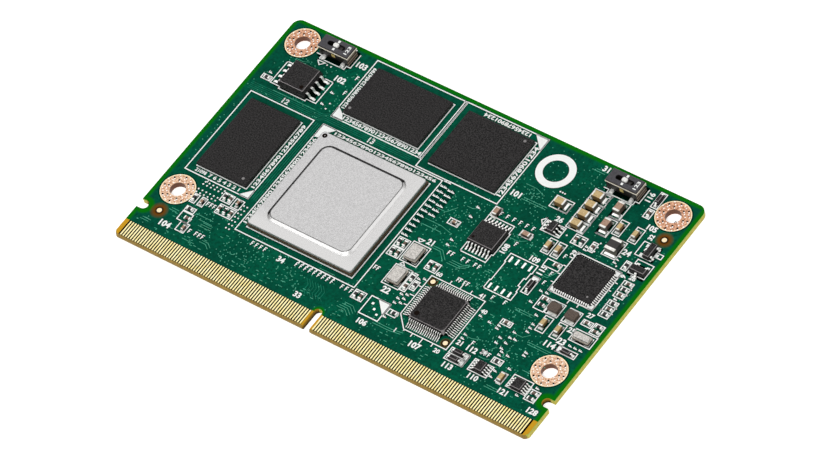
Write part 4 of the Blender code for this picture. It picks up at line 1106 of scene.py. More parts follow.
# %% Strew the wiring holes
BUSY_AREAS = (
    (44.5, 51.0, 23.5, 33.8), (52.0, 59.0, 34.8, 43.0), (57.5, 63.5, 19.5, 33.0),
    (64.0, 71.0, 9.8, 19.8), (70.0, 77.0, 9.5, 16.5), (9.5, 16.5, 9.0, 13.0), (15.5, 17.0, 35.5, 46.0),
    (53.0, 60.0, 19.0, 23.5), (3.0, 12.0, 42.2, 44.0), (17.5, 33.0, 4.5, 9.8), (61.0, 72.0, 44.5, 46.0),
    (53.0, 58.0, 36.0, 40.0),
)
QUIET_AREAS = (
    (7.4, 74.6, 3.9, 12.0), (42.0, 74.6, 12.0, 18.0), (42.0, 77.4, 18.5, 42.5), (77.4, 81.0, 18.5, 39.5),
    (53.0, 74.4, 42.5, 48.8), (1.0, 17.0, 34.5, 42.4), (7.4, 17.0, 42.4, 45.0), (0.9, 7.2, 3.9, 5.5),
    (5.7, 7.2, 5.5, 8.8), (75.0, 80.8, 3.9, 5.8), (1.0, 2.2, 16.0, 34.0),
)
busy = (BUSY_AREAS, 1.1, 4, small_disc(0.1, 0.02))
quiet = (QUIET_AREAS, 0.55, 9, small_disc(0.09, 0.02))
strewn_piece("wiring_holes", MASK_TOP - 0.008, busy, quiet)
DASH_AREAS = (
    (5.7, 17.0, 4.0, 9.0), (2.0, 5.7, 4.0, 5.4), (17.0, 37.0, 4.0, 6.4), (41.0, 46.0, 4.0, 6.8),
    (50.0, 62.0, 4.0, 6.0), (54.0, 58.5, 9.0, 15.5), (42.5, 48.0, 19.0, 23.0), (58.5, 64.0, 12.0, 19.0),
)
dashes = (DASH_AREAS, 0.4, 14, small_block(0.55, 0.1, 0.02, 0.004))
strewn_piece("wiring_dashes", MASK_TOP - 0.008, dashes)
UNDER_AREAS = ((8.0, 74.0, 5.0, 45.0), (2.0, 80.0, 18.0, 40.0))
strewn_piece("wiring_holes_below", MASK_BOTTOM - 0.012, (UNDER_AREAS, 0.12, 21, small_disc(0.14, 0.02)))

# %% [markdown]
# ## Moulded packages
#
# Chip bodies are epoxy filled with silica, moulded in a spark-eroded tool, which leaves a matt and
# finely grained black. Leads are tinned copper. Both belong to one solid in the frame, so the finish
# tells them apart by place: all that stands outside the moulded body's footprint is metal.

# %% Finish of moulded epoxy
MOULD_GRAIN = (0.1, 4.0, 0.8)


def epoxy_colours(tree, painted_bevel_highlight=False):
    """Silica-filled black with a coarse grain; where asked, bevelled upper edges get a painted highlight
    in a lighter grey.
    """
    speckle = spread(tree, grain(tree, 0.2, 2.0, 0.8), 0.41, 0.6)
    base = blend(tree, speckle, "020202", "3E3C3C")
    base = blend(tree, spread(tree, grain(tree, 2.5), 0.3, 0.7, 0.0, 0.25), base, "201C1D")
    if not painted_bevel_highlight:
        return base
    upward = axes(tree, surface_normal(tree))["Z"]
    from_bevel = sums(tree, "ABSOLUTE", sums(tree, "SUBTRACT", upward, 0.7))
    return blend(tree, spread(tree, from_bevel, 0.12, 0.22, 1.0, 0.0), base, "8D8788")


def from_middle(tree, node, axis):
    """How far a point lies from the node's middle along X or Y, in metres."""
    offset = sums(tree, "SUBTRACT", axes(tree)[axis], getattr(middle(node), axis.lower()))
    return sums(tree, "ABSOLUTE", offset)


# Silica-filled epoxy: near black with a fine grey grain, and a dull broad sheen.
epoxy, tree, shader = finish("moulded_epoxy", Roughness=0.55, Specular_IOR_Level=0.15)
paint(tree, shader, epoxy_colours(tree))
bump(tree, shader, grain(tree, *MOULD_GRAIN), 0.012)

# %% Finish of a package with leads
def epoxy_with_leads(node, length, width, pitch=0.0):
    """Moulded epoxy inside a footprint in millimetres round the node's middle, and tin outside it.

    Tinned copper is bright white on the faces that look up or outwards. The faces along the row,
    where two leads face each other, get painted shade in near black, and so do a fine lead's rounded
    edges.
    """
    look, tree, shader = finish("epoxy_and_leads_" + node, Specular_IOR_Level=0.15)
    outside, edge = [], []
    for axis, half in (("X", length / 2), ("Y", width / 2)):
        away = from_middle(tree, node, axis)
        outside.append(sums(tree, "GREATER_THAN", away, (half + 0.004) * MM))
        from_gap = sums(tree, "PINGPONG", away, pitch / 2 * MM)
        edge.append(sums(tree, "LESS_THAN", from_gap, (pitch / 2 - 0.065) * MM))
    metal = sums(tree, "MAXIMUM", *outside)
    both_ways = {0: surface_normal(tree)}
    facing = axes(tree, add_node(tree, "ShaderNodeVectorMath", both_ways, operation="ABSOLUTE").outputs[0])
    dark = 0.0
    for i in (0, 1):
        upright = sums(tree, "GREATER_THAN", facing["YX"[i]], 0.6)
        if pitch:
            upright = sums(tree, "MAXIMUM", upright, edge[1 - i])
        dark = sums(tree, "MAXIMUM", sums(tree, "MULTIPLY", outside[i], upright), dark)
    tinned = blend(tree, dark, wander(tree, 0.25, "EAE8E4", "FFFFFC"), "161615")
    paint(tree, shader, blend(tree, metal, epoxy_colours(tree, True), tinned))
    paint(tree, shader, sums(tree, "MULTIPLY", metal, 0.7), "Metallic")
    paint(tree, shader, spread(tree, metal, 0.0, 1.0, 0.5, 0.28), "Roughness")
    bump(tree, shader, grain(tree, *MOULD_GRAIN), 0.012)
    return look


# %% Dress the packages
def dress(node, look):
    """Gives a node of the frame its finish."""
    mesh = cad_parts[node].data
    mesh.materials.clear()
    mesh.materials.append(look)


for node in ("memory_left", "memory_rear", "storage_chip", "power_manager"):
    dress(node, epoxy)
LEADED = {
    "boot_flash": (5.25, 5.25), "interface_chip": (5.0, 4.4), "controller_chip": (7.0, 7.0, 0.4),
    "transistor_array": (1.35, 2.1), "protection_left": (1.6, 2.0), "protection_right": (2.0, 2.1),
    "transistor_lower": (2.9, 1.3), "transistor_upper": (1.3, 2.9), "diode_front_left": (1.7, 0.85),
    "diode_front_right": (1.7, 0.85), "diode_right": (1.7, 0.85),
    "diode_middle": (0.85, 1.7), "diode_rear": (0.85, 1.7),
}
for node, footprint in LEADED.items():
    dress(node, epoxy_with_leads(node, *footprint))

# %% [markdown]
# The controller's mould has small cut corners. A copy of its solid is closed up, and a sloped plane
# cuts each corner off the body alone, so that the leads beside it stay whole. The body's edges and
# points are listed in a fixed order, because a set's order changes from run to run.

# %% Cut the corners of the controller's body
SLACK = 0.01 * MM
BODY_HALF, CORNER_CUT, TOP_CUT = 3.5 * MM, 0.3 * MM, 0.4 * MM


def within(vert, centre, half):
    """Whether a point lies in a body's square footprint."""
    return all(abs(vert.co[i] - centre[i]) < half + SLACK for i in (0, 1))


def cut_corners(bm, centre, half, cut, top_cut):
    """Cuts the four upright corners off a moulded body, by more at its top than at its widest."""
    top = max(vert.co.z for vert in bm.verts)
    top_half = max(abs(vert.co.x - centre.x) for vert in bm.verts if vert.co.z > top - SLACK)
    corners = [v.co.z for v in bm.verts if all(abs(abs(v.co[i] - centre[i]) - half) < SLACK for i in (0, 1))]
    parting = max(corners)
    for sx, sy in ((1, 1), (1, -1), (-1, -1), (-1, 1)):
        first = Vector((centre.x + sx * (half - cut), centre.y + sy * half, parting))
        second = Vector((centre.x + sx * half, centre.y + sy * (half - cut), parting))
        third = Vector((centre.x + sx * (top_half - top_cut), centre.y + sy * top_half, top))
        out = (second - first).cross(third - first).normalized()
        if out.dot(Vector((sx, sy, 0.0))) < 0:
            out.negate()
        body = [f for f in bm.faces if all(within(v, centre, half) for v in f.verts)]
        geom = [*body, *dict.fromkeys(e for f in body for e in f.edges)]
        geom += dict.fromkeys(v for f in body for v in f.verts)
        bmesh.ops.bisect_plane(bm, geom=geom, dist=1e-8, plane_co=first, plane_no=out, clear_outer=True)
        bmesh.ops.holes_fill(bm, edges=[e for e in bm.edges if e.is_boundary], sides=0)


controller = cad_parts["controller_chip"].data
bm = bmesh.new()
bm.from_mesh(controller)
bmesh.ops.remove_doubles(bm, verts=bm.verts, dist=1e-6)
centre = middle("controller_chip")
before = sum(not within(v, centre, BODY_HALF) for v in bm.verts)
cut_corners(bm, centre, BODY_HALF, CORNER_CUT, TOP_CUT)
after = sum(not within(v, centre, BODY_HALF) for v in bm.verts)
open_edges = sum(not edge.is_manifold for edge in bm.edges)
print("points on the controller's leads", before, "then", after, "open edges", open_edges)
show("controller_cut_corners", bm, [controller.materials[0]], stands_for=["controller_chip"])

# %% [markdown]
# ## Solder under the packages
#
# Ball grid packages stand on hundreds of solder balls. Only the outer rows can be seen, so three rows
# are strewn on a grid along the edges of each package, from its own box in the frame.

# %% Grow the solder balls
def squashed_ball(radius, height):
    bm = bmesh.new()
    bmesh.ops.create_icosphere(bm, subdivisions=1, radius=1.0)
    for vert in bm.verts:
        vert.co = Vector((vert.co.x * radius, vert.co.y * radius, (vert.co.z + 1.0) / 2 * height)) * MM
    return bm


BALL_PITCH, BALL_RADIUS, BALL_ROWS = 0.8, 0.22, 3
bm = bmesh.new()
for node in ("processor_substrate", "memory_left", "memory_rear", "storage_chip"):
    low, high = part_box(node)
    across = int((high.x - low.x) / MM / BALL_PITCH)
    along = int((high.y - low.y) / MM / BALL_PITCH)
    centre = middle(node)
    places = []
    for i in range(across):
        for j in range(along):
            if min(i, j, across - 1 - i, along - 1 - j) < BALL_ROWS:
                offset = Vector((i - (across - 1) / 2, j - (along - 1) / 2)) * BALL_PITCH * MM
                places.append((centre.x + offset.x, centre.y + offset.y, MASK_TOP * MM))
    strew(bm, tin, squashed_ball(BALL_RADIUS, low.z / MM - MASK_TOP), places)
show("solder_balls", bm, [tin])

# %% [markdown]
# Between a part's leads, and in the narrow gap under it, the lacquer lies in deep shade. A thin dark
# patch of painted shade under each row of leads and under most small parts keeps those gaps as dark
# as they look on the real board.

# %% Lay the shade under leads and parts
# Painted deep shade on the mask: almost black with a trace of green, and no sheen at all.
deep_shade = mottled(
    "mask_under_leads", 0.3, "000503", "00140D", EVEN, Roughness=0.8, Specular_IOR_Level=0.0
)
gap_bm = bmesh.new()


def shade_under(node, over_x, over_y):
    """A dark patch of painted shade in the node's box, grown or shrunk by a distance along X and along Y."""
    x0, x1, y0, y1 = layout_box(node)[:4]
    slab(gap_bm, x0 - over_x, x1 + over_x, y0 - over_y, y1 + over_y, MASK_TOP - 0.02, MASK_TOP + 0.0135)


shade_under("controller_chip", 0.0, -1.35)
shade_under("controller_chip", -1.35, 0.0)
for node in ("boot_flash", "protection_left", "protection_right", "transistor_array"):
    shade_under(node, 0.0, 0.0)
shade_under("interface_chip", 0.0, 0.05)
shade_under("power_manager", 0.58, 0.58)
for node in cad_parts:
    if node.startswith(("capacitor", "diode", "inductor", "transistor_lower", "transistor_upper")):
        shade_under(node, 0.12, 0.12)
    if node.endswith("_base"):
        shade_under(node, 0.15, 0.15)
show("mask_under_leads", gap_bm, [deep_shade])

# %% [markdown]
# Pads and solder show as bright tin at the feet of every lead. Each row of pads is worked out from
# the package's place, its pin pitch and its pin count.

# %% Grow the pads under the leads
PAD_THICKNESS = SEAT - MASK_TOP
ENDS, LONG_SIDES = ((1, 0), (-1, 0)), ((0, 1), (0, -1))
ALL_SIDES = ENDS + LONG_SIDES
pad_bm = bmesh.new()


def pads(node, sides, count, pitch, reach, long, wide):
    """A row of pads on each side given; reach is how far a row's middle is from the package's."""
    x, y = layout_middle(node)
    back = pitch * (count - 1) / 2
    for a, b in sides:
        first = (x + a * reach + b * back, y + b * reach - a * back, MASK_TOP + PAD_THICKNESS / 2)
        size = (long, wide, PAD_THICKNESS) if a else (wide, long, PAD_THICKNESS)
        bar_row(pad_bm, tin, count, first, (-b * pitch, a * pitch), size)


# %% Lay the rows of pads
PAD_ROWS = (
    ("controller_chip", ALL_SIDES, 16, 0.4, 4.5, 0.9, 0.15),
    ("boot_flash", ENDS, 4, 1.27, 3.85, 0.75, 0.45),
    ("transistor_array", ENDS, 3, 0.7, 1.4, 0.6, 0.36),
    ("protection_left", ENDS, 4, 0.5, 1.5, 0.65, 0.26),
    ("protection_right", ENDS, 4, 0.5, 1.6, 0.65, 0.26),
    ("interface_chip", LONG_SIDES, 7, 0.65, 3.1, 0.9, 0.3),
    ("transistor_lower", LONG_SIDES[:1], 2, 1.9, 1.15, 0.6, 0.6),
    ("transistor_lower", LONG_SIDES[1:], 1, 1.9, 1.15, 0.6, 0.6),
    ("transistor_upper", ENDS[:1], 1, 1.9, 1.15, 0.6, 0.6),
    ("transistor_upper", ENDS[1:], 2, 1.9, 1.15, 0.6, 0.6),
    ("diode_front_left", ENDS, 1, 1.0, 1.2, 0.5, 0.55),
    ("diode_front_right", ENDS, 1, 1.0, 1.2, 0.5, 0.55),
    ("diode_right", ENDS, 1, 1.0, 1.2, 0.5, 0.55),
    ("diode_middle", LONG_SIDES, 1, 1.0, 1.2, 0.5, 0.55),
    ("diode_rear", LONG_SIDES, 1, 1.0, 1.2, 0.5, 0.55),
    ("switch_left_base", LONG_SIDES, 2, 3.8, 1.75, 0.8, 0.75),
    ("switch_right_base", LONG_SIDES, 2, 3.8, 1.75, 0.8, 0.75),
    ("inductor_left", LONG_SIDES, 1, 1.0, 0.95, 0.6, 1.7),
    ("inductor_right", LONG_SIDES, 1, 1.0, 0.95, 0.6, 1.7),
)
for row in PAD_ROWS:
    pads(*row)

# Pads of parts that aren't fitted: the count, the first place, the step, and a pad's size.
EMPTY = 1
EMPTY_PADS = (
    (4, (60.1, 26.75), (1.27, 0.0), (0.36, 1.15)), (4, (60.1, 21.0), (1.27, 0.0), (0.36, 1.05)),
    (2, (45.75, 9.15), (0.85, -0.85), (0.42, 0.4)), (1, (47.55, 7.6), (0.9, 0.0), (0.4, 0.35)),
)
for count, first, step, size in EMPTY_PADS:
    bar_row(pad_bm, tin, count, (*first, COPPER_TOP - 0.03), step, (*size, 0.06), EMPTY)

# %% [markdown]
# The power manager has no leads. Its contacts end at its sides, where the solder climbs as a row of
# small wedges, so one wedge is shaped for each side and strewn along it.

# %% Grow the solder wedges of the package without leads
WEDGES, WEDGE_PITCH, WEDGE_WIDTH, WEDGE_HEIGHT = 17, 0.4, 0.18, 0.36


def wedge(out, along, long):
    """A solder wedge that falls outwards from a package's side, in millimetres."""
    bm = bmesh.new()
    slope = (long * 0.35, WEDGE_HEIGHT * 0.45)
    profile = ((0.0, 0.0), (long, 0.0), (long, 0.04), slope, (0.0, WEDGE_HEIGHT))
    for_end = [along * WEDGE_WIDTH / 2 * end for end in (-1, 1)]
    skin(bm, [[(out * a + end + Vector((0.0, 0.0, b))) * MM for a, b in profile] for end in for_end])
    return bm


low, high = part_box("power_manager")
centre, half = (low + high) / 2, (high.x - low.x) / 2 / MM
centre.z = MASK_TOP * MM
for side in ALL_SIDES:
    out, along = Vector((*side, 0.0)), Vector((-side[1], side[0], 0.0))
    steps = [WEDGE_PITCH * (i - WEDGES // 2) for i in range(WEDGES)]
    places = [centre + (out * half + along * step) * MM for step in steps]
    long = 0.62 if side in ((1, 0), (0, -1)) else 0.4
    strew(pad_bm, tin, wedge(out, along, long), places, 0.0, EMPTY)

# %% [markdown]
# ## Chip capacitors
#
# A multilayer capacitor is a fired ceramic block, dipped at both ends in metal and tinned. The block
# is rounded by tumbling, and the dipped ends stand a little proud of it, so each one is skinned
# through a row of rounded sections along its length. A solder fillet climbs each end.

# %% Finishes of fired ceramics
def ceramic(name, low, high, side, roughness=0.42, **values):
    """A fine-grained surface between two colours, with painted shade in a darker one on its upright sides."""
    look, tree, shader = finish(name, Roughness=roughness, **values)
    upright = wander(tree, 0.2, "000000", side, EVEN)
    paint(tree, shader, blend(tree, lies_flat(tree), upright, wander(tree, 0.3, low, high)))
    bump(tree, shader, grain(tree, 0.12), 0.006)
    return look


# Fired ceramics: matt and even, sandy, rosy, black or brown by what is in the powder, with painted
# shade on their upright sides.
tan = ceramic("fired_ceramic_tan", "B3935C", "D6BC88", "A07A40")
pink = ceramic("fired_ceramic_rose", "96745C", "B8957E", "5E4436")
ferrite = ceramic("pressed_ferrite", "15110F", "2C2521", "191411")
resistor_black = mottled("resistor_glaze", 0.3, "0C0B0B", "232121", relief=(0.12, 0.006), Roughness=0.42)
small_brown = ceramic("small_capacitor_brown", "4A3A30", "7A6252", "33261E")
# Metal that the ends are dipped in: soft silver white on top, with painted shade, darker, down the
# sides.
end_metal = ceramic("dipped_metal_end", "DEDAD0", "FFFFFC", "A49C90", 0.34, Metallic=0.6)

# %% Shape of a block between tinned ends
def crosswise(near, far, half_width, turned):
    """A rectangle's corners from one distance along a part to another, turned with the part."""
    corners = ((near, -half_width), (far, -half_width), (far, half_width), (near, half_width))
    return [(-b, a) for a, b in corners] if turned else corners


def end_capped_block(node, look, end):
    """A rounded block between two tinned ends, in the node's own box."""
    low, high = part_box(node)
    size = high - low
    along_x = size.x >= size.y
    length, width = (size.x, size.y) if along_x else (size.y, size.x)
    end, wrap, radius = end * MM, 0.02 * MM, 0.09 * MM
    centre, half = (low + high) / 2, length / 2

    def section(u, inset, corner):
        """A rounded upright rectangle across the part at a distance along it."""
        wide, tall = width / 2 - inset, size.z / 2 - inset
        ring = []
        for cx, cz, start in ((-1, -1, 180), (1, -1, 270), (1, 1, 0), (-1, 1, 90)):
            for i in range(4):
                t = math.radians(start + 30 * i)
                v = cx * (wide - corner) + corner * math.cos(t)
                w = cz * (tall - corner) + corner * math.sin(t)
                ring.append(centre + (Vector((u, v, w)) if along_x else Vector((-v, u, w))))
        return ring

    tip = (
        (0.0, radius, radius * 0.3), (radius * 0.4, radius * 0.3, radius), (radius, 0.0, radius),
        (end, 0.0, radius), (end + wrap, wrap, radius),
    )
    bm = bmesh.new()
    skin(bm, [section(u - half, *rest) for u, *rest in tip])
    skin(bm, [section(u, wrap, radius) for u in (end - half, half - end)], 1)
    skin(bm, [section(half - u, *rest) for u, *rest in tip[::-1]])
    piece = show(node + "_dressed", bm, [end_metal, look], stands_for=[node])
    piece.data.shade_smooth()
    piece.data.set_sharp_from_angle(angle=math.radians(40))
    x, y = layout_middle(node)
    u, w = half / MM, width / MM / 2 + 0.04
    climb = SEAT + size.z / MM * 0.2
    levels = ((u + 0.3, w, MASK_TOP), (u + 0.3, w, COPPER_TOP + 0.02), (u + 0.02, w * 0.8, climb))
    for way in (-1, 1):
        fillet = []
        for toe, half_width, z in levels:
            corners = crosswise(way * (u - 0.15), way * toe, half_width, not along_x)
            fillet.append([spot(x + a, y + b, z) for a, b in corners])
        skin(pad_bm, fillet, EMPTY)


# %% Dress the capacitors
for i in range(1, 8):
    end_capped_block(f"capacitor_rear_{i}", *((pink, 0.36) if i > 5 else (tan, 0.3)))
for i in range(1, 10):
    end_capped_block(f"capacitor_small_{i}", pink if i > 7 else tan, 0.25)
for i in range(1, 5):
    end_capped_block(f"capacitor_tiny_{i}", pink, 0.2)
end_capped_block("inductor_rear", ferrite, 0.55)

# %% [markdown]
# ## The smallest parts
#
# About forty resistors and capacitors are only a millimetre long. One body and one pair of tinned
# ends are shaped once and strewn over all their places, first those that lie along the card edge and
# then those that stand across it.

# %% Grow the smallest parts
ALONG_X = (
    (8.3, 9.8), (9.1, 8.1), (50.0, 9.1), (66.8, 16.3), (69.8, 9.5), (78.5, 7.35), (78.5, 6.3),
    (79.5, 31.6), (79.5, 30.4), (79.5, 29.3), (79.5, 27.4), (79.5, 26.2), (79.5, 25.1), (69.6, 23.0),
    (69.6, 21.8), (78.0, 22.35), (80.1, 22.6), (80.1, 21.6), (3.1, 37.5), (67.3, 29.2),
)
ALONG_Y = (
    (7.5, 12.0), (12.6, 12.2), (13.7, 12.2), (14.8, 12.2), (12.0, 14.6), (13.0, 14.6), (42.3, 9.2),
    (43.3, 9.2), (42.4, 21.0), (43.4, 21.0), (42.4, 19.0), (43.4, 19.0), (49.4, 19.6), (50.5, 19.6),
    (48.4, 16.2), (48.4, 14.3), (49.6, 15.2), (67.1, 34.9), (68.2, 34.9), (70.3, 34.9), (77.1, 34.5),
    (74.4, 44.6),
)
# Length, width, height and chamfer of a body, of a tinned end and of the pad below it.
BODY, END, PAD = (0.72, 0.48, 0.4, 0.04), (0.22, 0.5, 0.43, 0.04), (0.42, 0.54, 0.08, 0.02)
END_OFFSET, PAD_OFFSET = 0.4, 0.52
bodies_bm, ends_bm = bmesh.new(), bmesh.new()
for spots, turned in ((ALONG_X, 0.0), (ALONG_Y, 90.0)):
    places = [spot(x, y, COPPER_TOP - 0.04) for x, y in spots]
    ground = [spot(x, y, MASK_TOP - 0.01) for x, y in spots]
    for k, look in ((0, resistor_black), (1, small_brown)):
        strew(bodies_bm, look, small_block(*BODY), places[k::2], turned, k)
    for way in (-1, 1):
        strew(ends_bm, tin, small_block(*END, way * END_OFFSET), places, turned)
        strew(pad_bm, tin, small_block(*PAD, way * PAD_OFFSET), ground, turned)
show("small_part_bodies", bodies_bm, [resistor_black, small_brown])
show("small_part_ends", ends_bm, [tin])
print("smallest parts:", len(ALONG_X) + len(ALONG_Y))

# %% [markdown]
# ## The processor's lid
#
# The lid is stamped from copper sheet and nickel plated: a flat flange with a raised middle whose
# edges are rounded by the press. It is skinned through rounded squares, with extra ones at each bend.
# A shallow dimple marks the first pin. The plating is satin, with a fine grain.

# %% Lid finishes
FLANGE_HEIGHT = 2.6
# Satin nickel: light neutral grey with a fine sparkle, and a painted reflection that brightens the
# flange towards the front and the right.
nickel, tree, shader = finish("satin_nickel_plate", Metallic=0.75, Roughness=0.24)
speck = spread(tree, grain(tree, 0.16, 3.0, 0.75), 0.36, 0.66)
plating = blend(tree, speck, "A4A3A3", "C8C7C7")
place = axes(tree)
low_down = sums(tree, "LESS_THAN", place["Z"], FLANGE_HEIGHT * MM)
to_front = spread(tree, place["Y"], spot(0, 13).y, spot(0, 16).y, 1.0, 0.0)
to_right = spread(tree, place["X"], spot(30, 0).x, spot(39, 0).x, 0.0, 0.75)
painted_flange_sheen = sums(tree, "MULTIPLY", low_down, sums(tree, "MAXIMUM", to_front, to_right))
paint(tree, shader, blend(tree, painted_flange_sheen, plating, "C4C3C2"))
bump(tree, shader, grain(tree, 0.2, 4.0, 0.7), 0.0015)
# Painted reflections on the pressed bends: the lamp as a white line, the dark side as a black one,
# and a grey one on the crown's edge.
near_bend = mottled("nickel_on_lit_bend", 0.16, "E2E1E0", "F8F7F6", EVEN, Metallic=1.0, Roughness=0.45)
crown_edge_reflection = mottled("nickel_on_turned_edge", 0.16, "6E6D6D", "8C8B8A", EVEN, Metallic=1.0, Roughness=0.35)
far_bend = mottled("nickel_on_shaded_bend", 0.16, "1E1D1D", "3C3B3A", EVEN, Metallic=1.0, Roughness=0.35)

# %% Build the lid
SHEET, FOOT_INSET, SLOPE = 0.5, 1.97, 0.35
CAVITY_WALL, CAVITY_RADIUS = 2.9, 1.6
LIT, SHADED, TURNED = 1, 2, 3
lid_low, lid_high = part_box("processor_lid")
side = (lid_high.x - lid_low.x) / MM
base, top = lid_low.z / MM, lid_high.z / MM
flange, cavity = base + SHEET, side - 2 * CAVITY_WALL
foot = side - 2 * FOOT_INSET
crown = foot - 2 * SLOPE
# Each ring's side, corner radius and height, from inside the hollow, round the flange and up.
profile = (
    (cavity, CAVITY_RADIUS, flange), (cavity, CAVITY_RADIUS, base), (side - 0.06, 0.5, base),
    (side, 0.5, base + 0.03), (side, 0.5, flange - 0.1), (side - 0.06, 0.5, flange - 0.03),
    (side - 0.2, 0.45, flange), (side - 0.34, 0.42, flange), (foot + 0.44, 1.85, flange),
    (foot + 0.3, 1.8, flange), (foot + 0.14, 1.75, flange + 0.03), (foot, 1.7, flange + 0.09),
    (foot - 0.12, 1.65, flange + 0.18), (crown + 0.16, 1.5, top - 0.16), (crown, 1.42, top - 0.07),
    (crown - 0.18, 1.35, top - 0.02), (crown - 0.36, 1.3, top), (crown - 0.5, 1.25, top),
)
x, y = layout_middle("processor_lid")
loops = []
for ring_side, radius, z in profile:
    loops.append([spot(x + a, y + b, z) for a, b in rounded_outline(ring_side, ring_side, radius, 8)])
bm = bmesh.new()
skin(bm, loops)
bm.normal_update()
# Each face on a bend takes a painted reflection by the way it faces: black away from the light, grey near the
# top, and white elsewhere.
for face in bm.faces:
    height = face.calc_center_median().z / MM
    if flange + 0.015 < height < top - 0.03 and face.normal.z > 0.1:
        away_from_light = face.normal.y - face.normal.x
        towards = TURNED if height > top - 0.06 else LIT
        face.material_index = SHADED if away_from_light > 0.15 else towards
lid = show("lid_shell", bm, [nickel, near_bend, far_bend, crown_edge_reflection], stands_for=["processor_lid"])
lid.data.shade_smooth()
lid.data.set_sharp_from_angle(angle=math.radians(32))
# The first pin's dimple is a dark ring of painted shade on the flange.
DIMPLE, DIMPLE_RADII = (19.62, 31.72), (0.46, 0.08)
bm = bmesh.new()
washer(bm, *DIMPLE, *DIMPLE_RADII, flange - 0.01, flange + 0.004, 24)
show("lid_first_pin_mark", bm, [dark_hole])

# %% Marks on the black packages
# The floor of a moulded dimple: smooth, so it catches the light as a pale dot.
mark_grey = mottled("moulded_dimple", 0.2, "6C6868", "8A8686", EVEN, Roughness=0.3)
PALE_DOTS = (
    ("memory_left", 3.86, -6.45, 0.26), ("memory_rear", -6.8, -3.95, 0.26),
    ("storage_chip", 5.18, 4.93, 0.26), ("power_manager", 2.43, -2.6, 0.18),
)
# The hollows on the packages are dark discs of painted shade.
HOLLOWS = (
    ("controller_chip", -2.45, -2.4, 0.46), ("boot_flash", 1.75, -1.75, 0.36),
    ("interface_chip", -1.75, -1.35, 0.24),
)
MARKS = (("package_marks", mark_grey, PALE_DOTS, 16), ("package_hollows", dark_hole, HOLLOWS, 20))
for name, look, marks, sides in MARKS:
    bm = bmesh.new()
    for node, dx, dy, radius in marks:
        x, y = layout_middle(node)
        upper = layout_box(node)[5]
        disc(bm, x + dx, y + dy, radius, upper - 0.02, upper + 0.002, sides)
    show(name, bm, [look])
# Thin laminate under the lid: dark olive brown at its edge, with a faint sheen.
substrate_green = mottled("package_substrate", 0.4, "3A2A1C", "59432C", EVEN, Roughness=0.45)
dress("processor_substrate", substrate_green)
# Polished silicon under the lid: dark grey and mirror smooth.
dress("processor_die", mottled("polished_silicon", 1.0, "5B6068", "6E747C", EVEN, Roughness=0.15))

# %% [markdown]
# ## Crystals and moulded inductors
#
# A crystal is sealed in a ceramic tray under a thin metal lid, welded along its rim. The two moulded
# inductors are pressed iron powder, brown and matt, on tinned feet that fold under their ends.

# %% Crystals and inductors
# Nickel-plated steel lid: warm light grey, soft, with small dents from welding.
can = mottled(
    "welded_crystal_lid", 0.25, "928E8A", "DAD6D0", relief=(0.3, 0.01), Metallic=1.0, Roughness=0.36
)
# The ceramic tray below it: buff on top, with painted shade, dark, down its sides.
tray = ceramic("crystal_tray", "A79C8B", "CFC6B6", "3A3026")
CRYSTAL_PAD, PAD_INSET = 0.45, 0.35
for name in ("upper", "lower", "right"):
    dress(f"crystal_{name}_lid", can)
    dress(f"crystal_{name}_base", tray)
    x0, x1, y0, y1 = layout_box(f"crystal_{name}_base")[:4]
    for x in (x0 + PAD_INSET, x1 - PAD_INSET):
        for y in (y0 + PAD_INSET, y1 - PAD_INSET):
            pad = (x - CRYSTAL_PAD, x + CRYSTAL_PAD, y - CRYSTAL_PAD, y + CRYSTAL_PAD)
            slab(pad_bm, *pad, MASK_TOP, SEAT)


def ferrite_with_feet(node, half_body):
    look, tree, shader = finish("ferrite_on_feet_" + node, Roughness=0.45)
    low_down = sums(tree, "LESS_THAN", axes(tree)["Z"], (SEAT + 0.119) * MM)
    beyond = sums(tree, "GREATER_THAN", from_middle(tree, node, "Y"), (half_body + 0.004) * MM)
    metal = sums(tree, "MAXIMUM", low_down, beyond)
    powder = spread(tree, grain(tree, 0.2, 4.0, 0.8), 0.35, 0.68)
    body = blend(tree, powder, "33271F", "665446")
    paint(tree, shader, blend(tree, metal, body, "E4E2DC"))
    paint(tree, shader, metal, "Metallic")
    bump(tree, shader, grain(tree, 0.12, 4.0, 0.8), 0.015)
    return look


for node in ("inductor_left", "inductor_right"):
    dress(node, ferrite_with_feet(node, 0.8))

# %% [markdown]
# ## Slide switches
#
# Each switch is a brown moulded base with tinned terminals, a dark cover with a round-ended slot, and
# a white lever in it. White index marks beside the slot show the lever's places.

# %% Sizes and finishes of the switches
STRIPE_PITCH = 0.62
TERMINALS_FROM, END_FACE_FROM = 1.254, 2.9
KNOB_FOOT = layout_box("switch_left_cover")[5] - 0.06
FLANGE_HIGH, KNOB_CORNER, KNOB_CROWN = 0.6, 0.26, 0.12
FRAME_WALL = 0.1
LEVER_FLANGE, KNOB, KNOB_TOP = (1.9, 1.5, 0.08), (0.95, 0.75, KNOB_CORNER), (0.71, 0.51, KNOB_CORNER - 0.08)
INDEX_MARKS = ((-0.2, 0.2, 0.62, 1.1), (-0.2, 0.2, -1.05, -0.62))
SPRING_WINDOW = (-0.35, 0.35, -1.3, -1.24)
# Moulded nylon: even dark grey with a slight violet tint, a soft sheen, and painted shade down its
# sides.
cover_grey = ceramic("moulded_nylon_grey", "26242A", "403D44", "2A2528")
# Sprung brass that shows in a window of the base: pale yellow metal with little shine.
bright_brass = mottled(
    "spring_contact_brass", 0.3, "C9AE5E", "EBD690", relief=(0.12, 0.006), Roughness=0.42, Metallic=0.3
)
# The frame under the cover: cream nylon, seen as a thin light line.
cream = mottled("switch_frame_cream", 0.3, "EFE4D0", "FFF8E8", relief=(0.12, 0.006), Roughness=0.42)
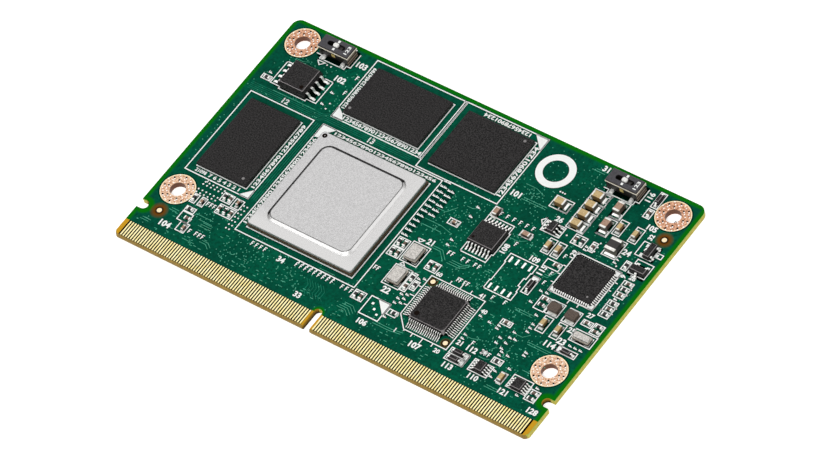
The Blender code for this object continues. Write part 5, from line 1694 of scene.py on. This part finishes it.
# White nylon: clean and bright on the knob; the flange inside the pocket gets painted brown shade.
lever_white, tree, shader = finish("moulded_nylon_white", Roughness=0.45)
knob = sums(tree, "GREATER_THAN", axes(tree)["Z"], KNOB_FOOT * MM)
whites = wander(tree, 0.3, "E8E7E2", "FBFAF6", EVEN)
paint(tree, shader, blend(tree, knob, "4B4645", whites))

# %% Helpers for a switch's base and lever
def base_with_terminals(node):
    look, tree, shader = finish("switch_base_and_terminals_" + node, Roughness=0.45)
    place = axes(tree)
    metal = sums(tree, "GREATER_THAN", from_middle(tree, node, "Y"), TERMINALS_FROM * MM)
    ribs = sums(tree, "SINE", sums(tree, "MULTIPLY", place["Z"], 2 * math.pi * per_mm(STRIPE_PITCH)))
    beyond = sums(tree, "SUBTRACT", place["X"], middle(node).x)
    end_face = sums(tree, "GREATER_THAN", beyond, END_FACE_FROM * MM)
    stripes = sums(tree, "MULTIPLY", end_face, spread(tree, ribs, 0.3, 0.8, 0.08, 0.85))
    body = blend(tree, stripes, wander(tree, 0.4, "0B0908", "1F1814"), "B49A86")
    paint(tree, shader, blend(tree, metal, body, "FFFFFC"))
    paint(tree, shader, sums(tree, "MULTIPLY", metal, 0.5), "Metallic")
    return look


def slab_beside(bm, x, y, area, z0, z1):
    """A box over an area that is given from a middle, as a slab's x0, x1, y0 and y1."""
    slab(bm, x + area[0], x + area[1], y + area[2], y + area[3], z0, z1)


def rounded_lever(lever):
    """The lever with a knob whose upright corners are rounded, so that they clear the slot's ends."""
    x, y = layout_middle(lever)
    low, high = layout_box(lever)[4:]
    flange_top = low + FLANGE_HIGH
    levels = (
        (*LEVER_FLANGE, low), (*LEVER_FLANGE, flange_top), (*KNOB, flange_top),
        (*KNOB, high - KNOB_CROWN), (*KNOB_TOP, high),
    )
    loops = []
    for length, width, radius, z in levels:
        loops.append([spot(x + a, y + b, z) for a, b in rounded_outline(length, width, radius, 4)])
    bm = bmesh.new()
    skin(bm, loops)
    show(lever + "_rounded", bm, [lever_white], lever, [lever])


# %% Dress both switches
for side in ("left", "right"):
    switch = f"switch_{side}"
    dress(switch + "_base", base_with_terminals(switch + "_base"))
    dress(switch + "_cover", cover_grey)
    rounded_lever(switch + "_lever")
    x0, x1, y0, y1, rim, top = layout_box(switch + "_cover")
    x, y = layout_middle(switch + "_cover")
    bm = bmesh.new()
    for area in INDEX_MARKS:
        slab_beside(bm, x, y, area, top - 0.005, top + 0.015)
    ink_number(bm, "123", x + 2.3, y, 0.6, 90, 1.7, top - 0.004)
    show(switch + "_marks", bm, [ink])
    bm = bmesh.new()
    left, right, wall = x0 - FRAME_WALL, x1 + FRAME_WALL, FRAME_WALL
    walls = (
        (left, right, y0 - wall, y0), (left, right, y1, y1 + wall), (left, x0, y0, y1), (x1, right, y0, y1),
    )
    for wall in walls:
        slab(bm, *wall, rim - 0.02, rim + 0.1)
    show(switch + "_frame", bm, [cream])
    bm = bmesh.new()
    slab_beside(bm, x, y, SPRING_WINDOW, 1.9, 2.6)
    show(switch + "_contact", bm, [bright_brass])

show("solder_pads", pad_bm, [fillet_tin, tin])
